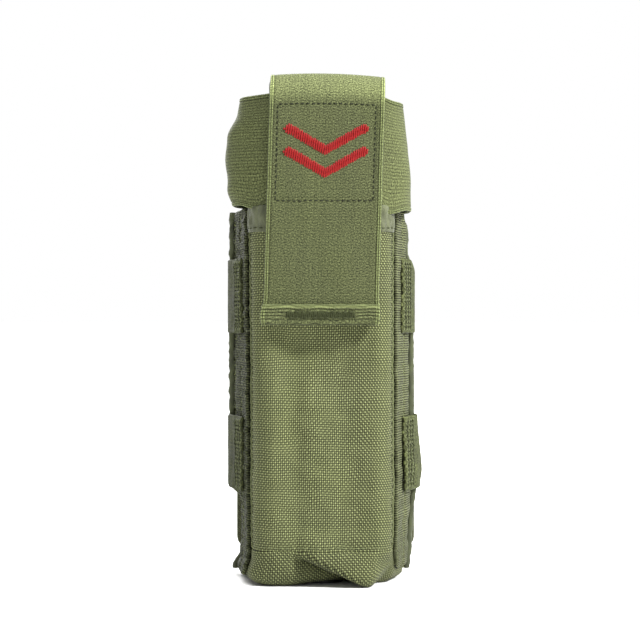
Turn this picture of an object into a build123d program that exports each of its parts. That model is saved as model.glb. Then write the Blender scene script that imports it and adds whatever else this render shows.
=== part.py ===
from build123d import *
import math
import os

os.makedirs("parts", exist_ok=True)

# A belt pouch that holds one folded windlass tourniquet. Millimetres, +Z up, +X to the viewer's right.
# The pouch faces -Y. The model is drawn with Y = 0 on the back panel's rear face, and save() moves it
# so that the origin is at the middle of its footprint.

# ---------------------------------------------------------------- pouch body
BODY_HEIGHT = 126.0  # base to mouth
BODY_DEPTH = 38.0  # back panel's rear face to the front panel's face
FRONT_HALF = 24.0  # half width at the front face
BACK_HALF = 29.8  # half width where the gussets meet the back panel
CORNER_R = 8.0  # the two upright front corners
CLOTH = 1.4  # coated nylon cloth with its lining
BACK_CLOTH = 1.6
SEAM_Z = 12.0  # top of the bottom cap
SEAM_Y = -29.0  # front panel to gusset
BINDING = 0.7  # tape round the mouth
BINDING_HEIGHT = 6.5
EDGE_HALF = 33.0  # outside of the tape round the back panel's long edges
EDGE_TAPE = 0.5
EDGE_WRAP = 4.0  # how far that tape laps on to the panel
BACK_FOOT = 2.0  # lower edge of the back panel

# ---------------------------------------------------------------- webbing
WEBBING = 25.4
WEB_THICK = 1.3
ROW_THICK = 1.2
ROW_CENTRES = (43.1, 96.7)  # heights of the two horizontal rows
ROW_OUT_HALF = 34.3  # outermost reach of a row at the pouch's sides
ROW_END_Y = -22.0  # where a row ends on the gusset
ROW_BEND_Y = -3.2  # where it turns in towards the gusset
ROW_BEND_R = 4.0
ROW_GAP = 0.1  # a row's clearance from the tapes that it passes over
TACK_WIDTH = 2.2
TACK_RISE = 0.5
TACK_INSET = 1.0  # from a row's edges to its tacks

# ---------------------------------------------------------------- elastic
ELASTIC = 38.0  # width of the flap and of the ring
FLAP_THICK = 1.5
RING_THICK = 1.3
RING_FOOT = 126.8
RING_LEVELS = ((0.0, 29.6), (9.0, 31.0), (ELASTIC, 28.0))  # height above the ring's foot, half width
RING_FRONT = -37.4
RING_REAR = -3.35
RING_CORNER_R = 13.0
RISER_FOOT = 99.0
HINGE_GAP = 0.25  # between two lengths of strap that turn about one line
RISER_GAP = 0.6  # the same at the rear fold, which turns further
REAR_HINGE = (-2.5, 168.4)  # y, z of the flap's fold over the back
FRONT_HINGE = (-37.9, 166.6)  # y, z of the flap's fold over the front
FLAP_TOP_Z = 169.7  # middle of the strap over the top
FLAP_FACE_Y = -40.65  # middle of the strap down the front
STRAP_BEND_R = 3.2  # the strap's bends beside both folds
REAR_LEAN = 2.6  # run of the strap from its rear fold up to the top
FRONT_LEAN = 3.6  # run of the strap from the top down to its front fold
SHOULDER_DROP = 6.5  # from the front fold down to the flat face
SHOULDER_R = 5.0
FLAP_END = 86.8
HEM_TOP = 94.0
HEM_LIFT = 1.6  # from the strap to its folded hem, middle to middle
PATCH_THICK = 1.1
PATCH_HALF = 16.5
PATCH_FOOT = 127.2
PATCH_TOP = 160.0
MARK_RISE = 0.7
MARK_CENTRE_Z = 144.0
MARK_WIDTH = 24.0  # between the ends of a chevron's arms
MARK_DROP = 7.0  # from those ends down to its point
MARK_STROKE = 3.6
MARK_PITCH = 7.5  # from one chevron down to the next
HEM_TACK_HALF = 11.2
HEM_TACK_HEIGHT = 3.2

# ---------------------------------------------------------------- webbing straps on the back
STRAP_PITCH = 38.1  # column spacing of load-bearing webbing grids
STRAP_THICK = 1.5
STRAP_FACE = 2.1  # the strap's inner face
STRAP_FOOT = 8.0
STRAP_HINGE_Z = 112.0
STRAP_CORNER_R = 5.0
TAB_TOP = 122.5
SNAP_Z = 16.0
CAP_R = 6.2
CAP_RISE = 2.0
POST_R = 1.9
SOCKET_R = 5.6
SOCKET_BORE_R = 2.35
SOCKET_THICK = 1.05
STUD_BASE_R = 5.4
STUD_BASE = 0.7
STUD_R = 2.05
WASHER_R = 5.0
WASHER_THICK = 0.6

# ---------------------------------------------------------------- drain eyelet
EYELET_Y = -20.0
EYELET_BORE_R = 2.6
EYELET_NECK_R = 3.4
EYELET_FLANGE_R = 6.3
EYELET_FLANGE = 0.8
RECESS_CLEAR = 0.4
FLOOR = 2.4

# ---------------------------------------------------------------- folded tourniquet
BUNDLE_FOOT = 5.0
BUNDLE_TOP = 158.0
BAND_HALF = 19.0
BAND_REAR = -6.0
BAND_FRONT = -17.0
PLATE_FOOT = 36.0
PLATE_TOP = 124.0
PLATE_THICK = 2.4
ROD_R = 4.75
ROD_TIP_R = 3.6
ROD_Y = -26.8
ROD_FOOT = 32.0
ROD_LENGTH = 110.0
ROD_TAPER = 12.0  # length of the taper to each tip
ROD_CHAMFER = 1.0
SLOT_LENGTH = 22.0
SLOT_WIDTH = 2.2
RIBBON_THICK = 1.2
RIBBON_WIDTH = 20.0
RIBBON_HALF = 15.0  # from the rod's middle to either sewn end
RIBBON_RISE = (10.0, 7.0)  # where it leaves the plate and where it enters the rod, from the rod's middle
CLIP_FOOT = 44.0
CLIP_HEIGHT = 18.0
CLIP_WALL = 2.2
CLIP_CLEAR = 0.35
CLIP_MOUTH = 7.4
CLIP_BASE_HALF = 13.0
CLIP_BASE = 2.0
RETENTION_HALF = 15.0
RETENTION_HEIGHT = 16.0
RETENTION_THICK = 1.0
BUCKLE_FOOT = 128.0
BUCKLE_HEIGHT = 26.0
BUCKLE_HALF = 21.0
BUCKLE_THICK = 4.0
BUCKLE_SLOT = 3.6
BUCKLE_SLOT_PITCH = 10.4
TIP_FOOT = 12.0  # lower end of the strap's stiff tip
TIP_THICK = 1.2

REAR_MOST = STRAP_FACE + STRAP_THICK + CAP_RISE
FRONT_MOST = FLAP_FACE_Y - HEM_LIFT - FLAP_THICK / 2 - TACK_RISE
ORIGIN_Y = (REAR_MOST + FRONT_MOST) / 2

WALL_REAR = -BACK_CLOTH - 0.05
GUSSET_SLOPE = (BACK_HALF - FRONT_HALF) / (BODY_DEPTH - BACK_CLOTH)
GUSSET_TURN = math.degrees(math.atan(GUSSET_SLOPE))
SIDES = {"left": -1, "right": 1}


def save(name, *solids):
    """Write one node, moved so that the footprint's middle is the origin."""
    shape = solids[0] if len(solids) == 1 else Compound(list(solids))
    export_step(shape.moved(Location((0, -ORIGIN_Y, 0))), f"parts/{name}.step")


def box(x0, x1, y0, y1, z0, z1):
    return Solid.make_box(x1 - x0, y1 - y0, z1 - z0, Plane((x0, y0, z0)))


def disc(radius, x, y0, y1, z):
    """A disc whose axis is along Y."""
    return Solid.make_cylinder(radius, y1 - y0, Plane((x, y0, z), z_dir=(0, 1, 0)))


def mirrored(solid, side):
    """Parts are drawn on the right, so the left one is their mirror image."""
    return solid if side > 0 else solid.mirror(Plane.YZ)


def gusset_x(y):
    """Half width of the pouch's outer wall at depth y."""
    return FRONT_HALF + (y + BODY_DEPTH) * GUSSET_SLOPE


def upright(line, height, foot):
    """A sheet that stands on a closed plan outline."""
    return extrude(make_face(line), height).moved(Location((0, 0, foot))).solid()


def plan_ribbon(points, radii, thickness, side, height, foot):
    """Webbing on edge: the plan line of one face, thickened to one side of its direction."""
    line = FilletPolyline(*points, radius=radii).wire()
    return upright(line.offset_2d(thickness, side=side, closed=True), height, foot)


def strap_profile(line):
    """The flap's elastic with rounded ends, swept across X from its side-view centre line."""
    outline = (Plane.YZ * line).wire().offset_2d(FLAP_THICK / 2, side=Side.BOTH)
    return extrude(make_face(outline), ELASTIC / 2, dir=(1, 0, 0), both=True).solid()


# ---------------------------------------------------------------- pouch body


def body_wall(height, foot, thickness=CLOTH, outset=0.0):
    """The U-shaped wall of front and gussets, open at the back."""
    rear = WALL_REAR + thickness
    out = outset / math.cos(math.radians(GUSSET_TURN))
    corner = FRONT_HALF + out
    points = [
        (gusset_x(rear) + out, rear),
        (corner - outset * GUSSET_SLOPE, -BODY_DEPTH - outset),
        (-corner + outset * GUSSET_SLOPE, -BODY_DEPTH - outset),
        (-gusset_x(rear) - out, rear),
    ]
    return plan_ribbon(points, CORNER_R + outset, thickness, Side.RIGHT, height, foot)


def front_slice(solid):
    """What lies in front of the seams between front panel and gussets."""
    reach = 2 * EDGE_HALF
    return solid & box(-reach, reach, -2 * BODY_DEPTH, SEAM_Y, -1, 2 * BODY_HEIGHT)


def front_panel():
    return front_slice(body_wall(BODY_HEIGHT - SEAM_Z, SEAM_Z)).solid()


def gusset(side):
    reach = 2 * EDGE_HALF
    wall = body_wall(BODY_HEIGHT - SEAM_Z, SEAM_Z)
    half = box(0, reach, SEAM_Y, WALL_REAR, 0, BODY_HEIGHT)
    return mirrored((wall & half).solid(), side)


def bottom_cap():
    """The floor with its low wall, recessed where the eyelet's flange lies."""
    reach = 2 * EDGE_HALF
    wall = body_wall(SEAM_Z, 0) & box(-reach, reach, -2 * BODY_DEPTH, WALL_REAR, 0, SEAM_Z)
    inset = CLOTH / 2
    points = [
        (gusset_x(WALL_REAR) - inset, WALL_REAR),
        (FRONT_HALF - inset, -BODY_DEPTH + inset),
        (-FRONT_HALF + inset, -BODY_DEPTH + inset),
        (-gusset_x(WALL_REAR) + inset, WALL_REAR),
    ]
    front = FilletPolyline(*points, radius=CORNER_R - inset).edges()
    floor = upright(Wire([*front, Line(points[-1], points[0]).edge()]), FLOOR, 0)
    recess = Solid.make_cylinder(
        EYELET_FLANGE_R + RECESS_CLEAR, EYELET_FLANGE, Plane((0, EYELET_Y, 0))
    )
    neck = Solid.make_cylinder(EYELET_NECK_R, FLOOR, Plane((0, EYELET_Y, 0)))
    return (wall + floor - recess - neck).solid()


def mouth_binding():
    """Tape folded over the front panel's upper edge."""
    foot = BODY_HEIGHT - BINDING_HEIGHT + BINDING
    band = body_wall(BINDING_HEIGHT, foot, CLOTH + 2 * BINDING, BINDING)
    return (front_slice(band) - front_panel()).solid()


def back_panel():
    half = EDGE_HALF - EDGE_TAPE
    return box(-half, half, -BACK_CLOTH, 0, BACK_FOOT, BODY_HEIGHT)


def edge_binding(side):
    """Tape folded round one long edge of the back panel, kept clear of the gusset's end."""
    inner = EDGE_HALF - EDGE_WRAP
    lap = gusset_x(-BACK_CLOTH) + WEB_THICK + ROW_GAP
    outer = box(inner, EDGE_HALF, -BACK_CLOTH, EDGE_TAPE, BACK_FOOT, BODY_HEIGHT)
    front = box(lap, EDGE_HALF, -BACK_CLOTH - EDGE_TAPE, 0, BACK_FOOT, BODY_HEIGHT)
    return mirrored((outer + front - back_panel()).solid(), side)


# ---------------------------------------------------------------- webbing


def side_webbing(side):
    """Upright webbing sewn to the outside of a gusset."""
    front = SEAM_Y + 0.5
    rear = front + (WEBBING - 0.4) * math.cos(math.radians(GUSSET_TURN))
    gap = 0.05
    points = [
        (gusset_x(front) + gap, front),
        (gusset_x(rear) + gap, rear),
        (gusset_x(rear) + gap + WEB_THICK, rear),
        (gusset_x(front) + gap + WEB_THICK, front),
    ]
    outline = Polyline(*points, close=True).wire()
    return mirrored(upright(outline, BODY_HEIGHT - 0.5, 0.5), side)


def row_points():
    """Outer face of a row in plan, from the left gusset round the back to the right gusset."""
    end_x = gusset_x(ROW_END_Y) + WEB_THICK + 2 * ROW_GAP + ROW_THICK
    rear = EDGE_TAPE + ROW_GAP + ROW_THICK
    right = [(end_x, ROW_END_Y), (ROW_OUT_HALF, ROW_BEND_Y), (ROW_OUT_HALF, rear)]
    left = [(-x, y) for x, y in right]
    return [*right, *reversed(left)]


def back_row(centre):
    """A row of the back's webbing, whose ends wrap round on to both gussets."""
    radii = [ROW_BEND_R, ROW_THICK + ROW_GAP, ROW_THICK + ROW_GAP, ROW_BEND_R]
    foot = centre - WEBBING / 2
    return plan_ribbon(row_points(), radii, ROW_THICK, Side.LEFT, WEBBING, foot)


def webbing_tacks():
    """Dense stitching: one tack in the middle of each row and one at each of its ends."""
    tacks = []
    rear = EDGE_TAPE + ROW_GAP + ROW_THICK
    end_x = gusset_x(ROW_END_Y) + WEB_THICK + 2 * ROW_GAP + ROW_THICK
    turn = math.degrees(math.atan2(ROW_OUT_HALF - end_x, ROW_BEND_Y - ROW_END_Y))
    for centre in ROW_CENTRES:
        reach = WEBBING / 2 - TACK_INSET
        foot, top = centre - reach, centre + reach
        half = TACK_WIDTH / 2
        tacks.append(box(-half, half, rear, rear + TACK_RISE, foot, top))
        end = box(0, TACK_RISE, TACK_INSET, TACK_INSET + TACK_WIDTH, foot, top)
        end = end.moved(Location((end_x, ROW_END_Y, 0), (0, 0, -turn)))
        tacks += [mirrored(end, side) for side in SIDES.values()]
    return tacks


# ---------------------------------------------------------------- elastic ring and flap


def ring_outline(half, inset):
    width = 2 * (half - inset)
    depth = RING_REAR - RING_FRONT - 2 * inset
    middle = (RING_REAR + RING_FRONT) / 2
    return Pos(0, middle) * RectangleRounded(width, depth, RING_CORNER_R - inset)


def ring_form(inset):
    """The ring's outer or inner form, lofted through its three levels."""
    outlines = [Pos(0, 0, RING_FOOT + z) * ring_outline(half, inset) for z, half in RING_LEVELS]
    return loft(outlines, ruled=True).solid()


def elastic_ring():
    return (ring_form(0) - ring_form(RING_THICK)).solid()


def loop_patch():
    """Fastener patch sewn to the front of the ring."""
    y1 = RING_FRONT
    return box(-PATCH_HALF, PATCH_HALF, y1 - PATCH_THICK, y1, PATCH_FOOT, PATCH_TOP)


def flap_riser():
    """The strap's sewn length, inside the back panel and up behind the ring."""
    top = REAR_HINGE[1] - FLAP_THICK / 2 - RISER_GAP
    face = RectangleRounded(FLAP_THICK, top - RISER_FOOT, FLAP_THICK / 2 - 0.01)
    middle = Pos(REAR_HINGE[0], (top + RISER_FOOT) / 2)
    return extrude(Plane.YZ * middle * face, ELASTIC / 2, both=True).solid()


def flap_top():
    """The strap's length over the top, between its two folds."""
    y0, z0 = REAR_HINGE
    y1, z1 = FRONT_HINGE
    clear = (FLAP_THICK + HINGE_GAP) * math.cos(math.radians(44))
    line = FilletPolyline(
        (y0, z0),
        (y0 - REAR_LEAN, FLAP_TOP_Z),
        (y1 + FRONT_LEAN, FLAP_TOP_Z),
        (y1 + clear, z1 + clear),
        radius=STRAP_BEND_R,
    )
    return strap_profile(line)


def flap_front():
    """The strap's length down the front, with its end folded up as a hem."""
    y0, z0 = FRONT_HINGE
    hem_y = FLAP_FACE_Y - HEM_LIFT
    line = FilletPolyline(
        (y0, z0),
        (FLAP_FACE_Y, z0 - SHOULDER_DROP),
        (FLAP_FACE_Y, FLAP_END + FLAP_THICK / 2),
        (hem_y, FLAP_END + FLAP_THICK / 2),
        (hem_y, HEM_TOP),
        radius=[SHOULDER_R, HEM_LIFT / 2 - 0.01, HEM_LIFT / 2 - 0.01],
    )
    return strap_profile(line)


def hook_patch():
    """Fastener patch sewn to the inside of the flap, opposite the ring's."""
    y0 = FLAP_FACE_Y + FLAP_THICK / 2
    return box(-PATCH_HALF, PATCH_HALF, y0, y0 + PATCH_THICK, PATCH_FOOT, PATCH_TOP)


def chevron(height):
    """One raised chevron of satin stitch, point down, at this height above the mark's middle."""
    half, top = MARK_WIDTH / 2, height + MARK_DROP / 2
    line = Polyline((-half, top), (0, top - MARK_DROP), (half, top))
    face = make_face(line.wire().offset_2d(MARK_STROKE / 2, side=Side.BOTH))
    front = FLAP_FACE_Y - FLAP_THICK / 2
    place = Plane((0, front, MARK_CENTRE_Z), x_dir=(1, 0, 0), z_dir=(0, -1, 0))
    return extrude(place * face, MARK_RISE).solid()


def embroidered_mark():
    return [chevron(height) for height in (MARK_PITCH / 2, -MARK_PITCH / 2)]


def hem_tack():
    """Dense stitching that holds the hem."""
    y1 = FLAP_FACE_Y - HEM_LIFT - FLAP_THICK / 2
    foot = (FLAP_END + HEM_TOP - HEM_TACK_HEIGHT) / 2
    top = foot + HEM_TACK_HEIGHT
    return box(-HEM_TACK_HALF, HEM_TACK_HALF, y1 - TACK_RISE, y1, foot, top)


# ---------------------------------------------------------------- straps and snaps on the back


def strap_x(side):
    return side * STRAP_PITCH / 2


def molle_tab(side):
    """The strap's upper end, sewn flat to the back panel."""
    x, half = strap_x(side), WEBBING / 2
    y0 = EDGE_TAPE + ROW_GAP
    return box(x - half, x + half, y0, y0 + ROW_THICK, STRAP_HINGE_Z + HINGE_GAP, TAB_TOP)


def molle_strap(side):
    """The free length of a strap, over both rows, bored for its snap."""
    x, half = strap_x(side), WEBBING / 2
    y0, y1 = STRAP_FACE, STRAP_FACE + STRAP_THICK
    tail = Rectangle(WEBBING, STRAP_HINGE_Z - HINGE_GAP - STRAP_FOOT)
    face = fillet(tail.vertices().sort_by(Axis.Y)[:2], STRAP_CORNER_R)
    middle = (STRAP_HINGE_Z - HINGE_GAP + STRAP_FOOT) / 2
    place = Plane((x, y1, middle), x_dir=(1, 0, 0), z_dir=(0, -1, 0))
    return (extrude(place * face, STRAP_THICK) - disc(POST_R, x, y0, y1, SNAP_Z)).solid()


def snap_cap(side):
    """Domed cap with the post that goes through the strap."""
    face = STRAP_FACE + STRAP_THICK
    x = strap_x(side)
    blank = Cylinder(CAP_R, CAP_RISE, align=(Align.CENTER, Align.CENTER, Align.MIN))
    dome = fillet(blank.edges().group_by(Axis.Z)[-1], CAP_RISE * 0.8)
    dome = Plane((x, face, SNAP_Z), z_dir=(0, 1, 0)) * dome
    return (dome + disc(POST_R, x, STRAP_FACE, face, SNAP_Z)).solid()


def snap_socket(side):
    """Ring on the strap's inner face that grips the stud."""
    x, y1 = strap_x(side), STRAP_FACE
    ring = disc(SOCKET_R, x, y1 - SOCKET_THICK, y1, SNAP_Z)
    return (ring - disc(SOCKET_BORE_R, x, y1 - SOCKET_THICK, y1, SNAP_Z)).solid()


def snap_stud(side):
    x = strap_x(side)
    base = disc(STUD_BASE_R, x, 0, STUD_BASE, SNAP_Z)
    return (base + disc(STUD_R, x, 0, STRAP_FACE - 0.15, SNAP_Z)).solid()


def stud_washer(side):
    """The stud's fixing plate, inside the pouch."""
    y1 = -BACK_CLOTH
    return disc(WASHER_R, strap_x(side), y1 - WASHER_THICK, y1, SNAP_Z)


# ---------------------------------------------------------------- drain eyelet


def drain_eyelet():
    """Flanged barrel through the floor."""
    lip = 0.1
    place = Plane((0, EYELET_Y, lip))
    flange = Solid.make_cylinder(EYELET_FLANGE_R, EYELET_FLANGE - lip, place)
    barrel = Solid.make_cylinder(EYELET_NECK_R, FLOOR - lip, place)
    bore = Solid.make_cylinder(EYELET_BORE_R, FLOOR - lip, place)
    return (flange + barrel - bore).solid()


def eyelet_washer():
    """Washer that the barrel is rolled over, on top of the floor."""
    place = Plane((0, EYELET_Y, FLOOR))
    plate = Solid.make_cylinder(EYELET_FLANGE_R, EYELET_FLANGE, place)
    return (plate - Solid.make_cylinder(EYELET_BORE_R, EYELET_FLANGE, place)).solid()


# ---------------------------------------------------------------- folded tourniquet


def rounded_slab(half, y0, y1, z0, z1, radius):
    """A slab in X and Z with rounded corners, y0 to y1 thick."""
    face = RectangleRounded(2 * half, z1 - z0, radius)
    place = Plane((0, y1, (z0 + z1) / 2), x_dir=(1, 0, 0), z_dir=(0, -1, 0))
    return extrude(place * face, y1 - y0).solid()


def tq_band():
    """The folded strap as one closed bundle with round folds at both ends."""
    depth = BAND_REAR - BAND_FRONT
    face = RectangleRounded(depth, BUNDLE_TOP - BUNDLE_FOOT, depth / 2 - 0.01)
    middle = ((BAND_REAR + BAND_FRONT) / 2, (BUNDLE_TOP + BUNDLE_FOOT) / 2)
    return extrude(Plane.YZ * Pos(*middle) * face, BAND_HALF, both=True).solid()


def tq_plate():
    front = BAND_FRONT - PLATE_THICK
    return rounded_slab(BAND_HALF, front, BAND_FRONT, PLATE_FOOT, PLATE_TOP, 6.0)


def tq_tail_tip():
    """Stiff end of the strap, folded to the front of the bundle."""
    front, top = BAND_FRONT - TIP_THICK, PLATE_FOOT - 2
    return rounded_slab(BAND_HALF - 1, front, BAND_FRONT, TIP_FOOT, top, 4.0)


def tq_buckle():
    """Ladder frame with three bars and two slots."""
    front, top = BAND_FRONT - BUCKLE_THICK, BUCKLE_FOOT + BUCKLE_HEIGHT
    frame = rounded_slab(BUCKLE_HALF, front, BAND_FRONT, BUCKLE_FOOT, top, 5.0)
    for offset in (-BUCKLE_SLOT_PITCH / 2, BUCKLE_SLOT_PITCH / 2):
        z = BUCKLE_FOOT + BUCKLE_HEIGHT / 2 + offset
        frame -= box(
            -BAND_HALF, BAND_HALF, front, BAND_FRONT, z - BUCKLE_SLOT / 2, z + BUCKLE_SLOT / 2
        )
    return frame.solid()


def tq_windlass():
    """Rod that tapers to rounded tips, with the ribbon's slot in its middle."""
    half, end_r = ROD_LENGTH / 2, ROD_TIP_R - ROD_CHAMFER
    upper = [(ROD_R, half - ROD_TAPER), (ROD_TIP_R, half - ROD_CHAMFER), (end_r, half), (0, half)]
    lower = [(r, -z) for r, z in reversed(upper)]
    profile = Polyline(*lower, *upper, close=True)
    rod = revolve(Plane.XZ * make_face(profile), Axis.Z)
    rod = rod.moved(Location((0, ROD_Y, ROD_FOOT + half)))
    middle = ROD_FOOT + half
    slot = box(
        -2 * ROD_R,
        2 * ROD_R,
        ROD_Y - SLOT_WIDTH / 2,
        ROD_Y + SLOT_WIDTH / 2,
        middle - SLOT_LENGTH / 2,
        middle + SLOT_LENGTH / 2,
    )
    return (rod - slot).solid()


def tq_ribbon():
    """Inner ribbon: up from the plate, through the rod's slot, and down again."""
    plate_y = BAND_FRONT - PLATE_THICK - 0.05
    mid_y = ROD_Y + RIBBON_THICK / 2
    leave, enter = RIBBON_RISE
    right = [(enter, mid_y), (leave, plate_y), (RIBBON_HALF, plate_y)]
    points = [*[(-x, y) for x, y in reversed(right)], *right]
    foot = ROD_FOOT + ROD_LENGTH / 2 - RIBBON_WIDTH / 2
    radii = [1.0, 2.2, 2.2, 1.0]
    return plan_ribbon(points, radii, RIBBON_THICK, Side.RIGHT, RIBBON_WIDTH, foot)


def tq_clip():
    """Horned clip on the plate that keeps the rod from unwinding."""
    inner = ROD_R + CLIP_CLEAR
    outer = inner + CLIP_WALL
    base_y = BAND_FRONT - PLATE_THICK
    place = Plane((0, ROD_Y, CLIP_FOOT))
    ring = Solid.make_cylinder(outer, CLIP_HEIGHT, place)
    half = CLIP_BASE_HALF
    foot = box(-half, half, base_y - CLIP_BASE, base_y, CLIP_FOOT, CLIP_FOOT + CLIP_HEIGHT)
    bore = Solid.make_cylinder(inner, CLIP_HEIGHT, place)
    gap = CLIP_MOUTH / 2
    mouth = box(-gap, gap, ROD_Y - 2 * outer, ROD_Y, CLIP_FOOT, CLIP_FOOT + CLIP_HEIGHT)
    return (ring + foot - bore - mouth).solid()


def tq_retention_strap():
    """Short strap across the clip's mouth."""
    y1 = ROD_Y - ROD_R - CLIP_CLEAR - CLIP_WALL
    foot = CLIP_FOOT + (CLIP_HEIGHT - RETENTION_HEIGHT) / 2
    return rounded_slab(RETENTION_HALF, y1 - RETENTION_THICK, y1, foot, foot + RETENTION_HEIGHT, 2.0)


# ---------------------------------------------------------------- nodes

save("front_panel", front_panel())
save("bottom_cap", bottom_cap())
save("mouth_binding", mouth_binding())
save("back_panel", back_panel())
for name, side in SIDES.items():
    save(f"gusset_{name}", gusset(side))
    save(f"edge_binding_{name}", edge_binding(side))
    save(f"side_webbing_{name}", side_webbing(side))
    save(f"molle_strap_{name}", molle_strap(side))
    save(f"snap_cap_{name}", snap_cap(side))
    save(f"snap_socket_{name}", snap_socket(side))
for name, centre in zip(("lower", "upper"), ROW_CENTRES):
    save(f"back_row_{name}", back_row(centre))
save("webbing_tacks", *webbing_tacks())
save("molle_tabs", *[molle_tab(side) for side in SIDES.values()])
save("snap_studs", *[snap_stud(side) for side in SIDES.values()])
save("stud_washers", *[stud_washer(side) for side in SIDES.values()])
save("drain_eyelet", drain_eyelet())
save("eyelet_washer", eyelet_washer())
save("elastic_ring", elastic_ring())
save("loop_patch", loop_patch())
save("flap_riser", flap_riser())
save("flap_top", flap_top())
save("flap_front", flap_front())
save("hook_patch", hook_patch())
save("embroidered_mark", *embroidered_mark())
save("hem_tack", hem_tack())
save("tq_band", tq_band())
save("tq_plate", tq_plate())
save("tq_tail_tip", tq_tail_tip())
save("tq_buckle", tq_buckle())
save("tq_windlass", tq_windlass())
save("tq_ribbon", tq_ribbon())
save("tq_clip", tq_clip())
save("tq_retention_strap", tq_retention_strap())
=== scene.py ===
import math

import bpy
import numpy as np
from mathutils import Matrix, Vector


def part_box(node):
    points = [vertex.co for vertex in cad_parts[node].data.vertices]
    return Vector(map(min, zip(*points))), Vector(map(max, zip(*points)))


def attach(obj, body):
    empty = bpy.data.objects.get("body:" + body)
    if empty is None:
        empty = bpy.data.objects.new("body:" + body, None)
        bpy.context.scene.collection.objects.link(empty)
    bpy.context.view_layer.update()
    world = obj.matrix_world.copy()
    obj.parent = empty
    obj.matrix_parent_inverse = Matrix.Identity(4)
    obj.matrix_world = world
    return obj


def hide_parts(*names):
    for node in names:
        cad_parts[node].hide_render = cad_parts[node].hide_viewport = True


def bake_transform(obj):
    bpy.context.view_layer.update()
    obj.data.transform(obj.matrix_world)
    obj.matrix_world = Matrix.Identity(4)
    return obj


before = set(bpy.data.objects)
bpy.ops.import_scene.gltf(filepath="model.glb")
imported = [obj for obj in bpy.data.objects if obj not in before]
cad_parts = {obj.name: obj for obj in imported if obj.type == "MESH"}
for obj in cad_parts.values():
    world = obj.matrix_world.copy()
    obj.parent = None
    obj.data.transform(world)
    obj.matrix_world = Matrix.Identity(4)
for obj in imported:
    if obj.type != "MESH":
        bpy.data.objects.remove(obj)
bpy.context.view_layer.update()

# Shapes are worked out in millimetres with y = 0 on the back panel's rear face, and to_frame() turns
# them into the frame's metres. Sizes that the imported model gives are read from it.
MM = 0.001
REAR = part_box("back_panel")[1].y / MM


def mm_box(node):
    """A CAD node's lowest and highest corners, in this script's millimetres."""
    return [np.array(corner) / MM - (0, REAR, 0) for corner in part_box(node)]


def mm_middle(node):
    """The middle of a CAD node's box."""
    low, high = mm_box(node)
    return (low + high) / 2


def to_frame(points):
    return (np.asarray(points, float) + (0, REAR, 0)) * MM


# ---------------------------------------------------------------- sizes
(_, FRONT_Y, SEAM_Z), (_, SEAM_Y, MOUTH_Z) = mm_box("front_panel")
REAR_X, WALL_REAR, _ = mm_box("gusset_right")[1]
EDGE_HALF = mm_box("edge_binding_right")[1][0]
BACK_FOOT = mm_box("back_panel")[0][2]
FRONT_HALF = 24.0
CORNER_R = 8.0
EDGE = 0.6  # how far from a sheet's edge its faces begin to round off
CLOTH = 1.4
BACK_CLOTH = 1.6
TAPE = 0.5
WEBBING = 25.4
WEB_THICK = 1.3
ROW_THICK = 1.2
ELASTIC = 38.0
STRAP_X = ELASTIC / 2  # from the flap strap's edge to its middle
FLAP_THICK = 1.5
FLAP_BEND_R = 8.0  # of the flap's fold over the front
HEM_LIFT = 1.6  # from the strap to its folded hem, middle to middle
RING_THICK = 1.3
BAND_TURNS = 3  # of the tourniquet's coil
BAND_LAYER = 1.7
BAND_PITCH = 1.8
GUSSET_SLOPE = (REAR_X - FRONT_HALF) / (WALL_REAR - FRONT_Y)
WALL_HEIGHT = MOUTH_Z - SEAM_Z
BACK_HEIGHT = MOUTH_Z - BACK_FOOT
STRAP_GRID = 38.1  # from one back strap's middle to the other's
SIDES = {"left": -1, "right": 1}

# ---------------------------------------------------------------- lines


def rounded(points, radius, closed=False):
    """The points of a line whose corners are arcs. radius is one number, or one for each corner."""
    points = [np.array(p, float) for p in points]
    count = len(points)
    corners = range(count) if closed else range(1, count - 1)
    radii = dict(zip(corners, np.broadcast_to(radius, len(corners))))
    line = []
    for i, corner in enumerate(points):
        if i not in radii:
            line.append(corner)
            continue
        back, ahead = points[i - 1] - corner, points[(i + 1) % count] - corner
        back, ahead = back / np.linalg.norm(back), ahead / np.linalg.norm(ahead)
        half = math.acos(np.clip(back @ ahead, -1, 1)) / 2
        inward = (back + ahead) / np.linalg.norm(back + ahead)
        centre = corner + inward * radii[i] / math.sin(half)
        reach = radii[i] / math.tan(half)
        start, end = corner + back * reach - centre, corner + ahead * reach - centre
        turn = math.pi - 2 * half
        for t in np.linspace(0, 1, 25):
            arm = (math.sin((1 - t) * turn) * start + math.sin(t * turn) * end) / math.sin(turn)
            line.append(centre + arm)
    if closed:
        line.append(line[0])
    return np.array(line)


class Line:
    """A line in two coordinates, read by the distance along it."""

    def __init__(self, points, closed=False):
        self.points, self.closed = np.array(points, float), closed
        steps = np.linalg.norm(np.diff(self.points, axis=0), axis=1)
        self.along = np.concatenate([[0], np.cumsum(steps)])
        self.length = self.along[-1]

    def at(self, s):
        s = np.mod(s, self.length) if self.closed else s
        return np.stack([np.interp(s, self.along, self.points[:, k]) for k in (0, 1)], axis=-1)

    def find(self, axis, value):
        """The distance at which the line first falls below this value."""
        i = int(np.argmax(self.points[:, axis] < value))
        a, b = self.points[i - 1, axis], self.points[i, axis]
        return self.along[i - 1] + (self.along[i] - self.along[i - 1]) * (a - value) / (a - b)

    def outward(self, s):
        """Unit normals, to the right of the line's direction."""
        reach = 0.15
        ahead = self.at(s + reach) - self.at(s - reach)
        ahead = ahead / np.linalg.norm(ahead, axis=-1, keepdims=True)
        return np.stack([ahead[..., 1], -ahead[..., 0]], axis=-1)


def xyz(x, y, z):
    """Points from three coordinates, some of which may be single numbers."""
    return np.stack(np.broadcast_arrays(x, y, z), axis=-1)


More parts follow.
